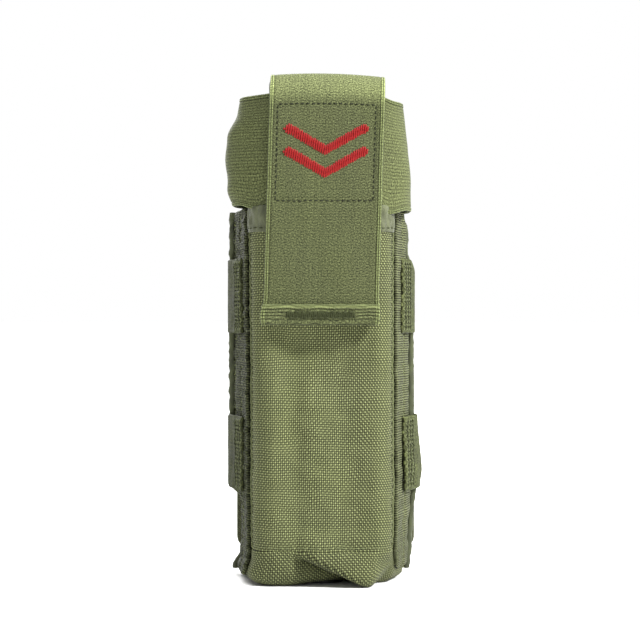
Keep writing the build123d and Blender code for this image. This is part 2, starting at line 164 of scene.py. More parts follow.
def upright(line, s, z, out=0.0):
    """Points of a sheet that stands on a plan line."""
    plan = line.at(s) + line.outward(s) * np.asarray(out)[..., None]
    return xyz(plan[..., 0], plan[..., 1], z)


def smooth(x, low, high):
    t = np.clip((x - low) / (high - low), 0, 1)
    return t * t * (3 - 2 * t)


def hump(x, centre, half_width):
    """1 at the centre, falling smoothly to 0 at half_width from it."""
    return 1 - smooth(np.abs(x - centre), 0, half_width)


def ripple(a, b, size, seed, terms=7):
    """Uneven smooth waves over two coordinates, about 1 high and about size from crest to crest."""
    random = np.random.default_rng(seed)
    total = 0.0
    for _ in range(terms):
        turn, phase = random.uniform(0, math.tau, 2)
        pace = random.uniform(0.6, 1.5) * math.tau / size
        total = total + np.sin((a * math.cos(turn) + b * math.sin(turn)) * pace + phase)
    return total / math.sqrt(terms)


def samples(length, step, edge=EDGE):
    """Distances from 0 to length, close together at both ends, where a sheet's edge is rounded."""
    turn = edge * (1 - np.cos(np.linspace(0, math.pi / 2, 5)))[:-1]
    inner = np.linspace(edge, length - edge, max(3, round(length / step)))
    return np.concatenate([turn, inner, length - turn[::-1]])


def edge_share(s):
    """The share of its thickness that a sheet with rounded edges has at each distance."""
    depth = np.clip(np.minimum(s - s[0], s[-1] - s) / EDGE, 0, 1)
    return np.sqrt(1 - (1 - depth) ** 2)


def corner_cut(s, width, radius):
    """How much shorter a strap with rounded corners is at each distance across it."""
    depth = np.clip(np.minimum(s, width - s), 0, radius)
    return radius - np.sqrt(np.clip(radius**2 - (radius - depth) ** 2, 0, None))


# ---------------------------------------------------------------- cloth meshes


def linked(name, data):
    """A new object in the scene, from a mesh, a lamp or a camera."""
    made = bpy.data.objects.new(name, data)
    bpy.context.scene.collection.objects.link(made)
    return made


def mesh_object(name, points, faces, corner_uvs, material):
    """A smooth mesh from points in this script's millimetres, with a UV map in millimetres."""
    mesh = bpy.data.meshes.new(name)
    mesh.from_pydata(to_frame(points).tolist(), [], faces)
    layer = mesh.uv_layers.new(name="cloth")
    layer.data.foreach_set("uv", np.asarray(corner_uvs, np.float32).ravel())
    mesh.polygons.foreach_set("use_smooth", [True] * len(mesh.polygons))
    mesh.set_sharp_from_angle(angle=math.radians(55))
    mesh.materials.append(material)
    return linked(name, mesh)


class Cloth:
    """A sheet over the distances u and v. middle(u, v) is its mid-surface, and its outer face is on the
    side that u crossed with v points to. relief(u, v) raises or sinks that face, and inner_relief the
    other one."""

    def __init__(self, u, v, middle, thick, closed=False, relief=None, inner_relief=None):
        self.u, self.v, self.closed = u, v, closed
        self.lap = u[1] - u[0] + u[-1] if closed else u[-1]
        grid_u, grid_v = np.meshgrid(u, v, indexing="ij")
        centre = middle(grid_u, grid_v)
        self.normal = self.normals(centre)
        self.share = np.outer(np.ones(len(u)) if closed else edge_share(u), edge_share(v))
        half = self.normal * (thick / 2 * self.share)[..., None]
        raised = relief(grid_u, grid_v) * self.share if relief else 0 * self.share
        self.outer = centre + half + self.normal * raised[..., None]
        sunk = inner_relief(grid_u, grid_v) * self.share if inner_relief else 0 * self.share
        self.inner = centre - half - self.normal * sunk[..., None]

    def normals(self, centre):
        if self.closed:
            along_u = np.roll(centre, -1, 0) - np.roll(centre, 1, 0)
        else:
            along_u = np.gradient(centre, axis=0)
        cross = np.cross(along_u, np.gradient(centre, axis=1))
        return cross / np.linalg.norm(cross, axis=-1, keepdims=True)

    def make(self, name, material, row_light_and_shade=slice(None)):
        """The closed mesh of all the sheet, or of some of its rows along v."""
        outer, inner, share = self.outer[:, row_light_and_shade], self.inner[:, row_light_and_shade], self.share[:, row_light_and_shade]
        count_u, count_v = share.shape
        index = np.arange(share.size).reshape(share.shape)
        split = share > 0
        under = index.copy()
        under[split] = share.size + np.arange(split.sum())
        points = np.concatenate([outer.reshape(-1, 3), inner[split]])
        edge_u, edge_v = np.append(self.u, self.lap), self.v[row_light_and_shade]
        faces, uvs = [], []

        def quads(i, j, *corners):
            """Faces with these corners, each a layer of points and a step along u and v from (i, j)."""
            found = [layer[(i + du) % count_u, j + dv] for layer, du, dv in corners]
            places = [np.stack([edge_u[i + du], edge_v[j + dv]], axis=-1) for _, du, dv in corners]
            for face, uv in zip(np.stack(found, 1).tolist(), np.stack(places, 1)):
                kept = [n for n in range(4) if face[n] not in face[:n]]
                faces.append([face[n] for n in kept])
                uvs.append(uv[kept])

        near = np.arange(count_u if self.closed else count_u - 1)
        i, j = (g.ravel() for g in np.meshgrid(near, np.arange(count_v - 1), indexing="ij"))
        quads(i, j, (index, 0, 0), (index, 1, 0), (index, 1, 1), (index, 0, 1))
        quads(i, j, (under, 0, 0), (under, 0, 1), (under, 1, 1), (under, 1, 0))
        for row, turned in ((0, False), (count_v - 1, True)):
            shut = near[split[near, row] | split[(near + 1) % count_u, row]]
            strip = [(index, 0, 0), (under, 0, 0), (under, 1, 0), (index, 1, 0)]
            quads(shut, np.full(len(shut), row), *(reversed(strip) if turned else strip))
        return mesh_object(name, points, faces, np.concatenate(uvs), material)

    def on(self, u, v, lift=0.0, face=1):
        """Points and normals on the outer face, or on the inner one with face = -1."""
        last_u, last_v = len(self.u) - 1, len(self.v) - 1
        i = np.clip(np.interp(u, self.u, np.arange(last_u + 1)), 0, last_u - 1e-6)
        j = np.clip(np.interp(v, self.v, np.arange(last_v + 1)), 0, last_v - 1e-6)
        i0, j0 = i.astype(int), j.astype(int)
        a, b = (i - i0)[..., None], (j - j0)[..., None]

        def read(grid):
            low = grid[i0, j0] * (1 - a) + grid[i0 + 1, j0] * a
            high = grid[i0, j0 + 1] * (1 - a) + grid[i0 + 1, j0 + 1] * a
            return low * (1 - b) + high * b

        normal = face * read(self.normal)
        return read(self.outer if face > 0 else self.inner) + normal * lift, normal


def groove(u, v, lines, depth=0.22, width=0.8):
    """How far stitching pulls a face in, along lines from (u, v) to (u, v)."""
    total = np.zeros_like(u)
    for (u0, v0), (u1, v1) in lines:
        du, dv = u1 - u0, v1 - v0
        t = np.clip(((u - u0) * du + (v - v0) * dv) / (du * du + dv * dv), 0, 1)
        total = np.maximum(total, np.exp(-((u - u0 - t * du) ** 2 + (v - v0 - t * dv) ** 2) / width**2))
    return -depth * total


# ---------------------------------------------------------------- sewn threads


class Threads:
    """Stitches that become one mesh. Each is a short round thread that dips at both ends."""

    SIDES = 6
    ALONG = np.array([-1, -0.93, -0.7, -0.35, 0, 0.35, 0.7, 0.93, 1])
    SIZE = np.array([0.25, 0.75, 1, 1, 1, 1, 1, 0.75, 0.25])

    def __init__(self):
        self.points, self.uvs, self.faces, self.count = [], [], [], 0

    def add(self, starts, ends, ups, radius=0.27, rise=0.35):
        """One stitch from each start to each end, arched by rise along its up."""
        starts, ends, ups = (np.atleast_2d(a) for a in (starts, ends, ups))
        ahead = (ends - starts) / 2
        reach = np.linalg.norm(ahead, axis=1, keepdims=True)
        aside = np.cross(ahead / reach, ups)
        turns = np.arange(self.SIDES) / self.SIDES * math.tau
        middle = (starts + ends)[:, None] / 2 + ahead[:, None] * self.ALONG[:, None]
        middle = middle + ups[:, None] * (rise * (1 - self.ALONG**2) - rise * 0.6)[:, None]
        ring = aside[:, None] * np.cos(turns)[:, None] + ups[:, None] * np.sin(turns)[:, None]
        size = (radius * self.SIZE)[:, None, None]
        points = middle[:, :, None] + ring[:, None] * size
        rings = len(self.ALONG)
        uv = np.empty((len(starts), rings, self.SIDES, 2))
        uv[..., 0] = (self.ALONG * reach)[:, :, None]
        uv[..., 1] = turns / math.tau * radius * 6
        base = self.count + np.arange(len(starts)) * rings * self.SIDES
        for first in base.tolist():
            for r in range(rings - 1):
                low, high = first + r * self.SIDES, first + (r + 1) * self.SIDES
                for n in range(self.SIDES):
                    m = (n + 1) % self.SIDES
                    self.faces.append((low + n, high + n, high + m, low + m))
            self.faces.append(tuple(first + n for n in range(self.SIDES)))
            top = first + (rings - 1) * self.SIDES
            self.faces.append(tuple(top + n for n in reversed(range(self.SIDES))))
        self.points.append(points.reshape(-1, 3))
        self.uvs.append(uv.reshape(-1, 2))
        self.count += points.shape[0] * rings * self.SIDES

    def sew(self, cloth, corners, pitch=2.1, fill=0.7, radius=0.2, face=1, seed=1):
        """A row of stitches over a cloth, through these (u, v) corners."""
        random = np.random.default_rng(seed)
        for a, b in zip(corners[:-1], corners[1:]):
            a, b = np.array(a, float), np.array(b, float)
            length = np.linalg.norm(b - a)
            count = max(1, round(length / pitch))
            middle = (np.arange(count) + 0.5) / count
            half = fill / count / 2 * random.uniform(0.9, 1.06, count)
            ahead = (b - a) / length
            drift = random.uniform(-0.09, 0.09, (count, 1)) * np.array([-ahead[1], ahead[0]])
            starts, ends = (a + (b - a) * (middle + sign * half)[:, None] + drift for sign in (-1, 1))
            first, up = cloth.on(starts[:, 0], starts[:, 1], 0.02, face)
            last, _ = cloth.on(ends[:, 0], ends[:, 1], 0.02, face)
            self.add(first, last, up, radius)

    def tack(self, cloth, start, end, width, pitch=0.5, radius=0.24, slant=0.5, face=1, seed=2):
        """Dense zigzag stitching along a line on a cloth."""
        random = np.random.default_rng(seed)
        start, end = np.array(start, float), np.array(end, float)
        length = np.linalg.norm(end - start)
        ahead = (end - start) / length
        aside = np.array([-ahead[1], ahead[0]])
        count = max(2, round(length / pitch))
        middle = start + (end - start) * ((np.arange(count) + 0.5) / count)[:, None]
        lean = ahead * slant * np.where(np.arange(count) % 2, 1, -1)[:, None]
        half = (aside * width + lean) / 2 * random.uniform(0.85, 1.08, (count, 1))
        middle = middle + aside * random.uniform(-0.1, 0.1, (count, 1))
        first, up = cloth.on(*(middle - half).T, 0.05, face)
        last, _ = cloth.on(*(middle + half).T, 0.05, face)
        self.add(first, last, up, radius, rise=0.45)

    def make(self, name, material):
        points, uvs = np.concatenate(self.points), np.concatenate(self.uvs)
        corners = np.fromiter((n for face in self.faces for n in face), int)
        return mesh_object(name, points, self.faces, uvs[corners], material)


# ---------------------------------------------------------------- materials


# How much brighter a front face looks under this scene's light than its own colour.
LIGHT = 2.15


def rgb(*levels):
    """The colour of a surface that looks like these 0 to 255 levels under this scene's light."""
    parts = [c / 255 for c in levels]
    return [(c / 12.92 if c < 0.04045 else ((c + 0.055) / 1.055) ** 2.4) / LIGHT for c in parts] + [1.0]


def joined_by(operation, swapped=False):
    """A method that joins a field and another value with a math node."""

    def method(field, other):
        return field.nodes.math(operation, *((other, field) if swapped else (field, other)))

    return method


class Field:
    """A value that varies over a surface: a socket of a material's nodes, used like a number."""

    def __init__(self, nodes, socket):
        self.nodes, self.socket = nodes, socket

    __add__ = __radd__ = joined_by("ADD")
    __mul__ = __rmul__ = joined_by("MULTIPLY")
    __sub__, __rsub__ = joined_by("SUBTRACT"), joined_by("SUBTRACT", swapped=True)
    __truediv__, __mod__ = joined_by("DIVIDE"), joined_by("FLOORED_MODULO")


class Nodes:
    """Short names for the nodes that a pattern is worked out from, in a material or the world."""

    def __init__(self, owner):
        owner.use_nodes = True
        self.tree = owner.node_tree

    def feed(self, socket, value):
        if isinstance(value, Field):
            self.tree.links.new(value.socket, socket)
        else:
            socket.default_value = value

    def node(self, kind, inputs=(), output=0, **settings):
        made = self.tree.nodes.new(kind)
        for key, value in settings.items():
            setattr(made, key, value)
        for key, value in dict(inputs).items():
            self.feed(made.inputs[key], value)
        return Field(self, made.outputs[output])

    def math(self, operation, *values):
        return self.node("ShaderNodeMath", enumerate(values), operation=operation)

    def blend(self, share, low, high):
        return low + share * (high - low)

    def span(self, x, from_low, from_high, low=0.0, high=1.0):
        """low to high as x goes from from_low to from_high, and level beyond them."""
        inputs = {0: x, 1: from_low, 2: from_high, 3: low, 4: high}
        return self.node("ShaderNodeMapRange", inputs, clamp=True)


class Finish(Nodes):
    """A material, and the patterns that cloth and hard parts share."""

    def __init__(self, name, roughness=0.85, sheen=0.0, metallic=0.0, specular=0.3):
        self.material = bpy.data.materials.new(name)
        super().__init__(self.material)
        self.shader = self.tree.nodes["Principled BSDF"]
        self.shader.inputs["Metallic"].default_value = metallic
        self.shader.inputs["Specular IOR Level"].default_value = specular
        self.shader.inputs["Sheen Weight"].default_value = sheen
        self.shader.inputs["Sheen Roughness"].default_value = 0.4
        self.roughness = roughness

    def cloth_uv(self, along="v"):
        """The two distances over a sheet, in millimetres: across it, and along it."""
        at = {0: self.node("ShaderNodeUVMap", uv_map="cloth")}
        u, v = (self.node("ShaderNodeSeparateXYZ", at, output=axis) for axis in (0, 1))
        self.place = (u, v) if along == "v" else (v, u)
        return self.place

    def noise(self, size, detail=2.0, stretch=1.0):
        """Soft noise from 0 to 1 over the sheet, with features about size wide."""
        u, v = self.place
        at = self.node("ShaderNodeCombineXYZ", {0: u / size, 1: v / (size * stretch)})
        return self.node("ShaderNodeTexNoise", {"Vector": at, "Scale": 1.0, "Detail": detail})

    def object_noise(self, scale, detail=3.0):
        at = self.node("ShaderNodeTexCoord", output=3)
        return self.node("ShaderNodeTexNoise", {"Vector": at, "Scale": scale, "Detail": detail})

    def fibre(self, cell, salt):
        """A value from 0 to 1 for each whole number, as one thread differs from the next."""
        return self.node("ShaderNodeTexWhiteNoise", {1: cell + salt}, noise_dimensions="1D")

    def ridge(self, x, power=0.7):
        """Round threads side by side, one for each whole number."""
        wave = self.math("SINE", self.math("FRACT", x) * math.pi)
        return self.math("POWER", self.math("MAXIMUM", wave, 0.001), power)

    def vary(self, noise, low, high):
        """low to high over the middle of a noise's range, where most of its values are."""
        return self.span(noise, 0.3, 0.7, low, high)

    def colour(self, share, low, high):
        inputs = {0: share, 6: low, 7: high}
        return self.node("ShaderNodeMix", inputs, output=2, data_type="RGBA", clamp_factor=True)

    def darken(self, colour, *shares):
        """A colour times each of these values, as shade and wear do."""
        for share in shares:
            grey = self.node("ShaderNodeCombineXYZ", {0: share, 1: share, 2: share})
            kind = dict(data_type="RGBA", blend_type="MULTIPLY")
            colour = self.node("ShaderNodeMix", {0: 1.0, 6: colour, 7: grey}, output=2, **kind)
        return colour

    def done(self, colour, height, depth_mm, rough_noise=None, strength=0.9):
        """The finished material: its colour, its relief, and a roughness that may vary with a noise."""
        self.feed(self.shader.inputs["Base Color"], colour)
        rough = self.roughness
        if rough_noise:
            rough = self.vary(rough_noise, rough - 0.1, min(1.0, rough + 0.08))
        self.feed(self.shader.inputs["Roughness"], rough)
        bump = {"Height": height, "Strength": strength, "Distance": depth_mm * MM}
        self.feed(self.shader.inputs["Normal"], self.node("ShaderNodeBump", bump))
        return self.material


def woven_cloth(name, dark, light):
    """Coated nylon in a plain weave, each thread a little different from the next. One diagonal of the
    weave stands out at a panel's left, and the other one at its right."""
    f = Finish(name, roughness=0.78, sheen=0.03, specular=0.12)
    u, v = f.cloth_uv()
    drift = (f.noise(11.0, detail=1.0) - 0.5) * 1.4
    warp, weft = (u + drift) / 0.71, (v + drift * 0.8) / 0.79
    cell_u, cell_v = f.math("FLOOR", warp), f.math("FLOOR", weft)
    parity = (cell_u + cell_v) % 2.0
    ridge_u, ridge_v = f.ridge(warp), f.ridge(weft)
    over_warp = ridge_u * f.blend(ridge_v, 0.15, 1.0)
    over_weft = ridge_v * f.blend(ridge_u, 0.1, 0.85)
    falling = f.math("COSINE", (warp - weft) * math.pi)
    rising = f.math("COSINE", (warp + weft + 1.0) * math.pi)
    side = f.span(u, 37.0, 43.0)
    twist = f.blend(side, f.blend(falling, 0.87, 1.0), f.blend(rising, 0.78, 1.0))
    height = f.blend(parity, over_warp, over_weft) * twist
    thread = f.blend(parity, f.fibre(cell_u, 3.5), f.fibre(cell_v, 9.5))
    wear, fuzz = f.noise(16.0, detail=3.0), f.noise(0.7)
    colour = f.darken(
        f.colour(f.math("POWER", height, 1.5), dark, light),
        f.blend(thread, 0.9, 1.1),
        f.vary(wear, 0.92, 1.08),
        f.span(fuzz, 0.25, 0.75, 0.9, 1.08),
    )
    return f.done(colour, height, 0.16, wear)


def ribbed_webbing(
    name, dark, light, pitch=0.78, along="v", stagger=0.5, scuff=0.25, sharp=0.7, roughness=0.8,
    shade_from=None
):
    """Nylon webbing: short ribs across the strap, in columns along it that are offset by stagger. When a
    distance along it is given for shade, the webbing is painted darker from there on: painted shade for
    the end that lies away from the light."""
    f = Finish(name, roughness=roughness, sheen=0.02, specular=0.1)
    across, length = f.cloth_uv(along)
    column = across / 1.3
    rib = length / pitch + f.math("FLOOR", column) % 2.0 * stagger
    height = f.ridge(rib, sharp) * f.blend(f.ridge(column, 0.3), 0.55, 1.0)
    wear = f.noise(7.0, detail=4.0, stretch=2.0)
    fuzz = f.noise(0.7, detail=3.0)
    colour = f.darken(
        f.colour(height, dark, light),
        f.blend(f.fibre(f.math("FLOOR", rib), 4.5), 0.86, 1.1),
        f.vary(wear, 1 - scuff, 1 + scuff * 0.6),
        f.vary(fuzz, 1 - 2 * scuff, 1 + 1.4 * scuff),
    )
    if shade_from:
        # Painted shade: from this distance on, the colour is darkened to 0.62, as if that end lay in
        # shadow.
        shade_line = length + f.noise(5.0) * 6.0
        colour = f.darken(colour, f.span(shade_line, shade_from, shade_from + 4.0, 1.0, 0.62))
    return f.done(colour, height + fuzz * 0.3, 0.2, wear)


def knit_elastic(name, dark, light, pale, along="v", crinkle=0.6, lows=(0.72, 0.1), bend_highlight=None, hem=None):
    """Woven elastic: cords along it, fine weft across it, and a smooth selvedge at each edge. lows is
    how dark it is between cords and between weft rows. The bend's place, when given, is the distance
    along it and the half width of a fold over the top, whose colour is painted up to 1.95 times paler:
    a painted highlight for the light from above. hem is the length of the hem, whose rows are pulled up
    by its bar tack; their crests are painted paler and their troughs darker, painted highlight and
    shade, and its cut end is painted pale, a painted highlight."""
    f = Finish(name, roughness=0.85, sheen=0.05, specular=0.14)
    across, length = f.cloth_uv(along)
    cord, row = across / 1.04, length / 0.93
    cell = f.math("FLOOR", cord)
    weft = f.ridge(row + cell % 2.0 * 0.28)
    knit = f.blend(f.ridge(cord), lows[0], 1.0) * f.blend(weft, lows[1], 1.0)
    crepe = f.span(f.noise(0.42, detail=1.0), 0.32, 0.68)
    grain = f.blend(crinkle, knit, crepe)
    depth = f.math("MINIMUM", across, ELASTIC - across)
    selvedge = f.span(depth, 1.4, 1.5, 1.0, 0.0)
    edge_cord = f.ridge(depth / 0.72, 0.8) * f.blend(f.ridge(row), 0.5, 1.0)
    height = f.blend(selvedge, grain, edge_cord)
    wear = f.noise(11.0, detail=3.0, stretch=1.6)
    colour = f.darken(
        f.colour(selvedge, f.colour(grain, dark, light), f.colour(edge_cord, dark, pale)),
        f.blend(f.fibre(cell, 2.5), 0.95, 1.05),
        f.vary(wear, 0.93, 1.07),
        f.span(f.noise(0.5), 0.28, 0.72, 0.42, 1.55),
    )
    if hem:
        # Painted light and shade: the hem's rows are painted paler on their crests and darker in their
        # troughs, and its cut end pale, a painted highlight.
        pulled = f.ridge((length + f.noise(5.0, detail=1.0) * 1.6) / 1.15, 0.9)
        row_light_and_shade = f.span(pulled, 0.0, 1.0, 0.45, 1.4)
        share = f.blend(f.span(length, hem - 0.6, hem, 1.0, 0.0), 1.0, row_light_and_shade)
        colour = f.darken(f.colour(f.span(length, 0.8, 1.3, 0.7, 0.0), colour, pale), share)
    if bend_highlight:
        # Painted highlight: the fold over the top is painted paler, for the light from above.
        off = f.math("ABSOLUTE", length - bend_highlight[0])
        colour = f.darken(colour, f.span(off, bend_highlight[1] * 0.45, bend_highlight[1], 1.95, 1.0))
    return f.done(colour, height, 0.16, wear)


def smooth_tape(name, dark, light):
    """Thin binding tape with a fine rib and creases."""
    f = Finish(name, roughness=0.7, sheen=0.15)
    u, v = f.cloth_uv()
    crease = f.noise(2.2, detail=4.0, stretch=2.5)
    height = f.ridge((u + v) / 0.45) * 0.25 + crease
    colour = f.colour(f.span(height, 0.35, 0.85), dark, light)
    colour = f.darken(colour, f.vary(f.noise(9.0), 0.88, 1.1))
    return f.done(colour, height, 0.3, crease)


def pile(name, dark, light, size):
    """The face of a hook or loop patch."""
    f = Finish(name, roughness=0.95, sheen=0.3)
    _, v = f.cloth_uv()
    tuft = f.noise(size, detail=4.0)
    height = tuft * f.blend(f.ridge(v / (size * 1.6), 0.5), 0.6, 1.0)
    colour = f.colour(f.span(height, 0.2, 0.65), dark, light)
    colour = f.darken(colour, f.vary(f.noise(6.0), 0.85, 1.1))
    return f.done(colour, height, 0.5, tuft, strength=1.0)


def twisted_thread(name, dark, light, roughness=0.7):
    """Sewing thread, its plies a diagonal line round it."""
    f = Finish(name, roughness=roughness, specular=0.2)
    u, v = f.cloth_uv()
    ply, lint = f.ridge((u + v) * 2.2), f.noise(1.4)
    colour = f.darken(f.colour(ply, dark, light), f.vary(lint, 0.8, 1.15))
    return f.done(colour, ply, 0.06, lint)


def hard(name, low, high, roughness, metallic=0.0, grain=900.0):
    """Moulded plastic or painted metal, with a fine grain and rubbed, uneven gloss."""
    f = Finish(name, roughness=roughness, metallic=metallic, specular=0.5)
    fine, broad = f.object_noise(grain, 2.0), f.object_noise(grain / 12, 4.0)
    colour = f.colour(f.span(broad, 0.35, 0.65), low, high)
    colour = f.darken(colour, f.vary(fine, 0.9, 1.1))
    return f.done(colour, fine + broad, 0.03, broad, strength=0.6)


SIDE_RIBS = dict(pitch=0.8, stagger=0.0, sharp=1.3)

GREEN_CLOTH = woven_cloth("green_cloth", rgb(20, 24, 9), rgb(196, 204, 140))
TAPE_FINISH = smooth_tape("green_tape", rgb(48, 52, 31), rgb(126, 132, 95))
EDGE_FINISH = smooth_tape("edge_tape", rgb(30, 34, 16), rgb(104, 111, 74))
# Lit and shaded copies of one webbing: the left strip's is painted darker and more uneven, painted shade
# for the side away from the light.
STRIP_FINISHES = {
    "left": ribbed_webbing("left_webbing_painted_shade", rgb(8, 10, 4), rgb(102, 108, 74), scuff=0.34, **SIDE_RIBS),
    "right": ribbed_webbing("strip_webbing", rgb(12, 14, 6), rgb(142, 148, 106), scuff=0.2, **SIDE_RIBS),
}
WEB_FINISH = ribbed_webbing("green_webbing", rgb(34, 36, 22), rgb(140, 145, 108))
ROW_COLOURS = rgb(14, 17, 6), rgb(125, 133, 84)
# The rows' left ends, from about 88 mm along, are painted darker as shade.
ROW_FINISH = ribbed_webbing("row_webbing", *ROW_COLOURS, along="u", scuff=0.42, shade_from=88.0)
FLAP_COLOURS = rgb(32, 36, 17), rgb(123, 130, 86), rgb(143, 153, 99)
RING_COLOURS = rgb(30, 34, 15), rgb(138, 146, 96), rgb(144, 154, 100)
RING_FINISH = knit_elastic("ring_finish", *RING_COLOURS, along="u", crinkle=0.42, lows=(0.1, 0.6))
LOOP_FINISH = pile("loop_pile_finish", rgb(58, 63, 40), rgb(124, 131, 92), 0.5)
HOOK_FINISH = pile("hook_pile_finish", rgb(52, 57, 36), rgb(112, 118, 80), 0.8)
THREAD = twisted_thread("green_thread", rgb(70, 76, 44), rgb(150, 158, 108))
DARK_THREAD = twisted_thread("dark_thread", rgb(34, 38, 18), rgb(78, 85, 46))
SEAM_THREAD = twisted_thread("seam_thread", rgb(18, 21, 10), rgb(48, 54, 28))
RED_THREAD = twisted_thread("red_thread", rgb(70, 6, 6), rgb(204, 38, 36), roughness=0.5)
BLACK_METAL = hard("black_metal", rgb(40, 40, 39), rgb(58, 58, 56), 0.38, metallic=0.8, grain=1500.0)
BLACK_PLASTIC = hard("black_plastic", rgb(34, 34, 35), rgb(48, 48, 50), 0.5)
BAND_FINISH = ribbed_webbing("black_band", rgb(22, 22, 24), rgb(58, 58, 62), pitch=0.9, roughness=0.75)
GREY_FINISH = ribbed_webbing("grey_band", rgb(92, 94, 92), rgb(158, 160, 156), pitch=0.7, along="u")
TAB_FINISH = ribbed_webbing("red_band", rgb(110, 24, 20), rgb(180, 52, 44), pitch=0.7)


def piece(made, body, slot, *nodes, between=None):
    """Puts a piece on its body, or, for a piece that lies between two bodies, bakes its place into its
    mesh and leaves it on no body; and hides the CAD nodes that it stands for.
    """
    if between:
        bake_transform(made)
    else:
        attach(made, body)
    if nodes:
        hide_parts(*nodes)
    return made


def sewn(threads, name, finish, *nodes, body="pouch", slot="green_thread"):
    piece(threads.make(name, finish), body, slot, *nodes)


# ---------------------------------------------------------------- how the sewn body gives

FOLD_TOP = np.array([-7.5, 11.2])  # x, z of the crease across the bottom corner of the front
FOLD_FOOT = np.array([13.7, 0.3])


def bottom_crease(x, y, z):
    """The slack cloth at the front's foot: it puffs forward on the right of a slanting crease and is
    tucked in on the left of it, and both corners are drawn up."""
    ahead = (FOLD_FOOT - FOLD_TOP) / np.linalg.norm(FOLD_FOOT - FOLD_TOP)
    depth = (z - FOLD_TOP[1]) * ahead[0] - (x - FOLD_TOP[0]) * ahead[1]
    front = smooth(-y, 22, 34)
    low = 1 - smooth(z, 11, 24)
    right = smooth(depth, -0.7, 0.9) * np.exp(-np.clip(depth - 0.9, 0, None) / 9)
    right = right * (1 - smooth(x, 15, 22)) * (1 - smooth(-x, 2, 10))
    left = smooth(-depth, -0.3, 1.5) * np.exp(-np.clip(-depth - 1.5, 0, None) / 6)
    left = left * smooth(12.5 - z, 0, 4) * smooth(x, -14, -3)
    under = 1.8 * smooth(11 - z, 0, 10) * (1 - smooth(x, 4, 14))
    pinch = smooth(x, 14.5, 24) * smooth(13 - z, 0, 7)
    forward = (2.8 * right * low - 5.2 * left - under - 4.2 * pinch) * front
    corner = 0.4 * smooth(-x, 17, 26) + 5.4 * smooth(x, 14.5, 25)
    lift = (2.6 * left * smooth(6 - z, 0, 6) + corner * smooth(10 - z, 0, 10)) * front
    return forward, lift


def sag(p):
    """Moves points of the pouch's cloth from their drawn places to where the real cloth lies."""
    x, y, z = p[..., 0], p[..., 1], p[..., 2]
    front = smooth(-y, 6, 27)
    flat = np.clip(1 - (x / FRONT_HALF) ** 2, 0, 1)
    mouth = smooth(z, 50, MOUTH_Z)
    rear = smooth(y, -14, -2)
    # The front's sides stand nearer together than the walls were drawn.
    narrow = (1.2 - 0.6 * mouth) * smooth(-x, 4, 22) - 2.2 * smooth(x, 12, 24)
    narrow = (narrow - 1.8 * smooth(-x, 14, 24) * smooth(9 - z, 0, 7)) * front
    # The walls lean in or out at their feet and at the mouth, differently on the left and the right.
    lean = -1.6 * smooth(x, 22, 31) * (1 - hump(z, 34, 22)) * (0.35 + 0.65 * rear)
    left = 5.3 * smooth(32 - z, 0, 7) - 1.6 * smooth(14.5 - z, 0, 5) - 2.6 * smooth(8 - z, 0, 5)
    right = 0.6 * smooth(37 - z, 0, 5) + 0.9 * smooth(11 - z, 0, 10) + 1.9 * smooth(z, 105, 112)
    taper = np.where(x < 0, left, right + 2.1 * smooth(z, 119, 126))
    lean = lean - taper * smooth(np.abs(x), 25, 32) * np.sign(x) * (0.3 + 0.7 * rear)
    # The front bulges over the band, with long soft waves and two slanting valleys.
    belly = 1.1 * hump(z, 100, 60) + 1.8 * hump(z, 52, 48) - 2.8 * hump(z, 80, 22)
    waves = 0.75 * ripple(x, z * 0.35, 26, 11) * hump(z, 55, 66) + 0.16 * ripple(x, z, 9, 12)
    valley = -1.5 * hump(x + 0.06 * z, -8, 9) * hump(z, 52, 46) + 0.7 * hump(x, 6, 10) * hump(z, 40, 30)
    valley = valley - 2.1 * hump(x, -9, 15) * hump(z, 79, 13)
    forward, lift = bottom_crease(x, y, z)
    slack = front * flat * (belly + valley + waves * (1 - 0.7 * smooth(z, 84, 92))) + forward
    wall = (1 - front * flat) * 0.12 * ripple(y, z, 11, 13) * np.sign(x) * smooth(-y, 3, 10)
    return p + np.stack([narrow + lean + wall, -slack, lift], axis=-1)


WALL_CORNERS = [(-REAR_X, WALL_REAR), (-FRONT_HALF, FRONT_Y), (FRONT_HALF, FRONT_Y), (REAR_X, WALL_REAR)]
WALL = Line(rounded(WALL_CORNERS, CORNER_R))
SEAM_S = WALL.find(1, SEAM_Y)
PANEL_WIDTH = WALL.length - 2 * SEAM_S


def front_cloth():
    u, v = samples(PANEL_WIDTH, 0.8), samples(WALL_HEIGHT, 0.85)
    inset, welt, foot = 2.3, 0.7, 1.2
    seams = [((s, 0), (s, WALL_HEIGHT)) for s in (inset, PANEL_WIDTH - inset)]
    seams.append(((0, foot), (PANEL_WIDTH, foot)))

    def middle(s, z):
        return sag(upright(WALL, s + SEAM_S, z + SEAM_Z, -CLOTH / 2))

    cloth = Cloth(u, v, middle, CLOTH, relief=lambda s, z: groove(s, z, seams, 0.3, 0.9))
    made = piece(cloth.make("front_cloth", GREEN_CLOTH), "pouch", "body_cloth", "front_panel")
    stitches, welts = Threads(), Threads()
    for s, seed in ((inset, 3), (PANEL_WIDTH - inset, 4)):
        stitches.sew(cloth, [(s, 1), (s, WALL_HEIGHT - 6)], seed=seed)
    welts.sew(cloth, [(4, foot), (PANEL_WIDTH - 4, foot)], seed=5)
    for s, seed in ((welt, 7), (PANEL_WIDTH - welt, 8)):
        welts.sew(cloth, [(s, 4), (s, WALL_HEIGHT - 8)], pitch=2.6, fill=1.35, radius=0.3, seed=seed)
    sewn(stitches, "front_stitches", DARK_THREAD)
    sewn(welts, "welt_stitches", THREAD)


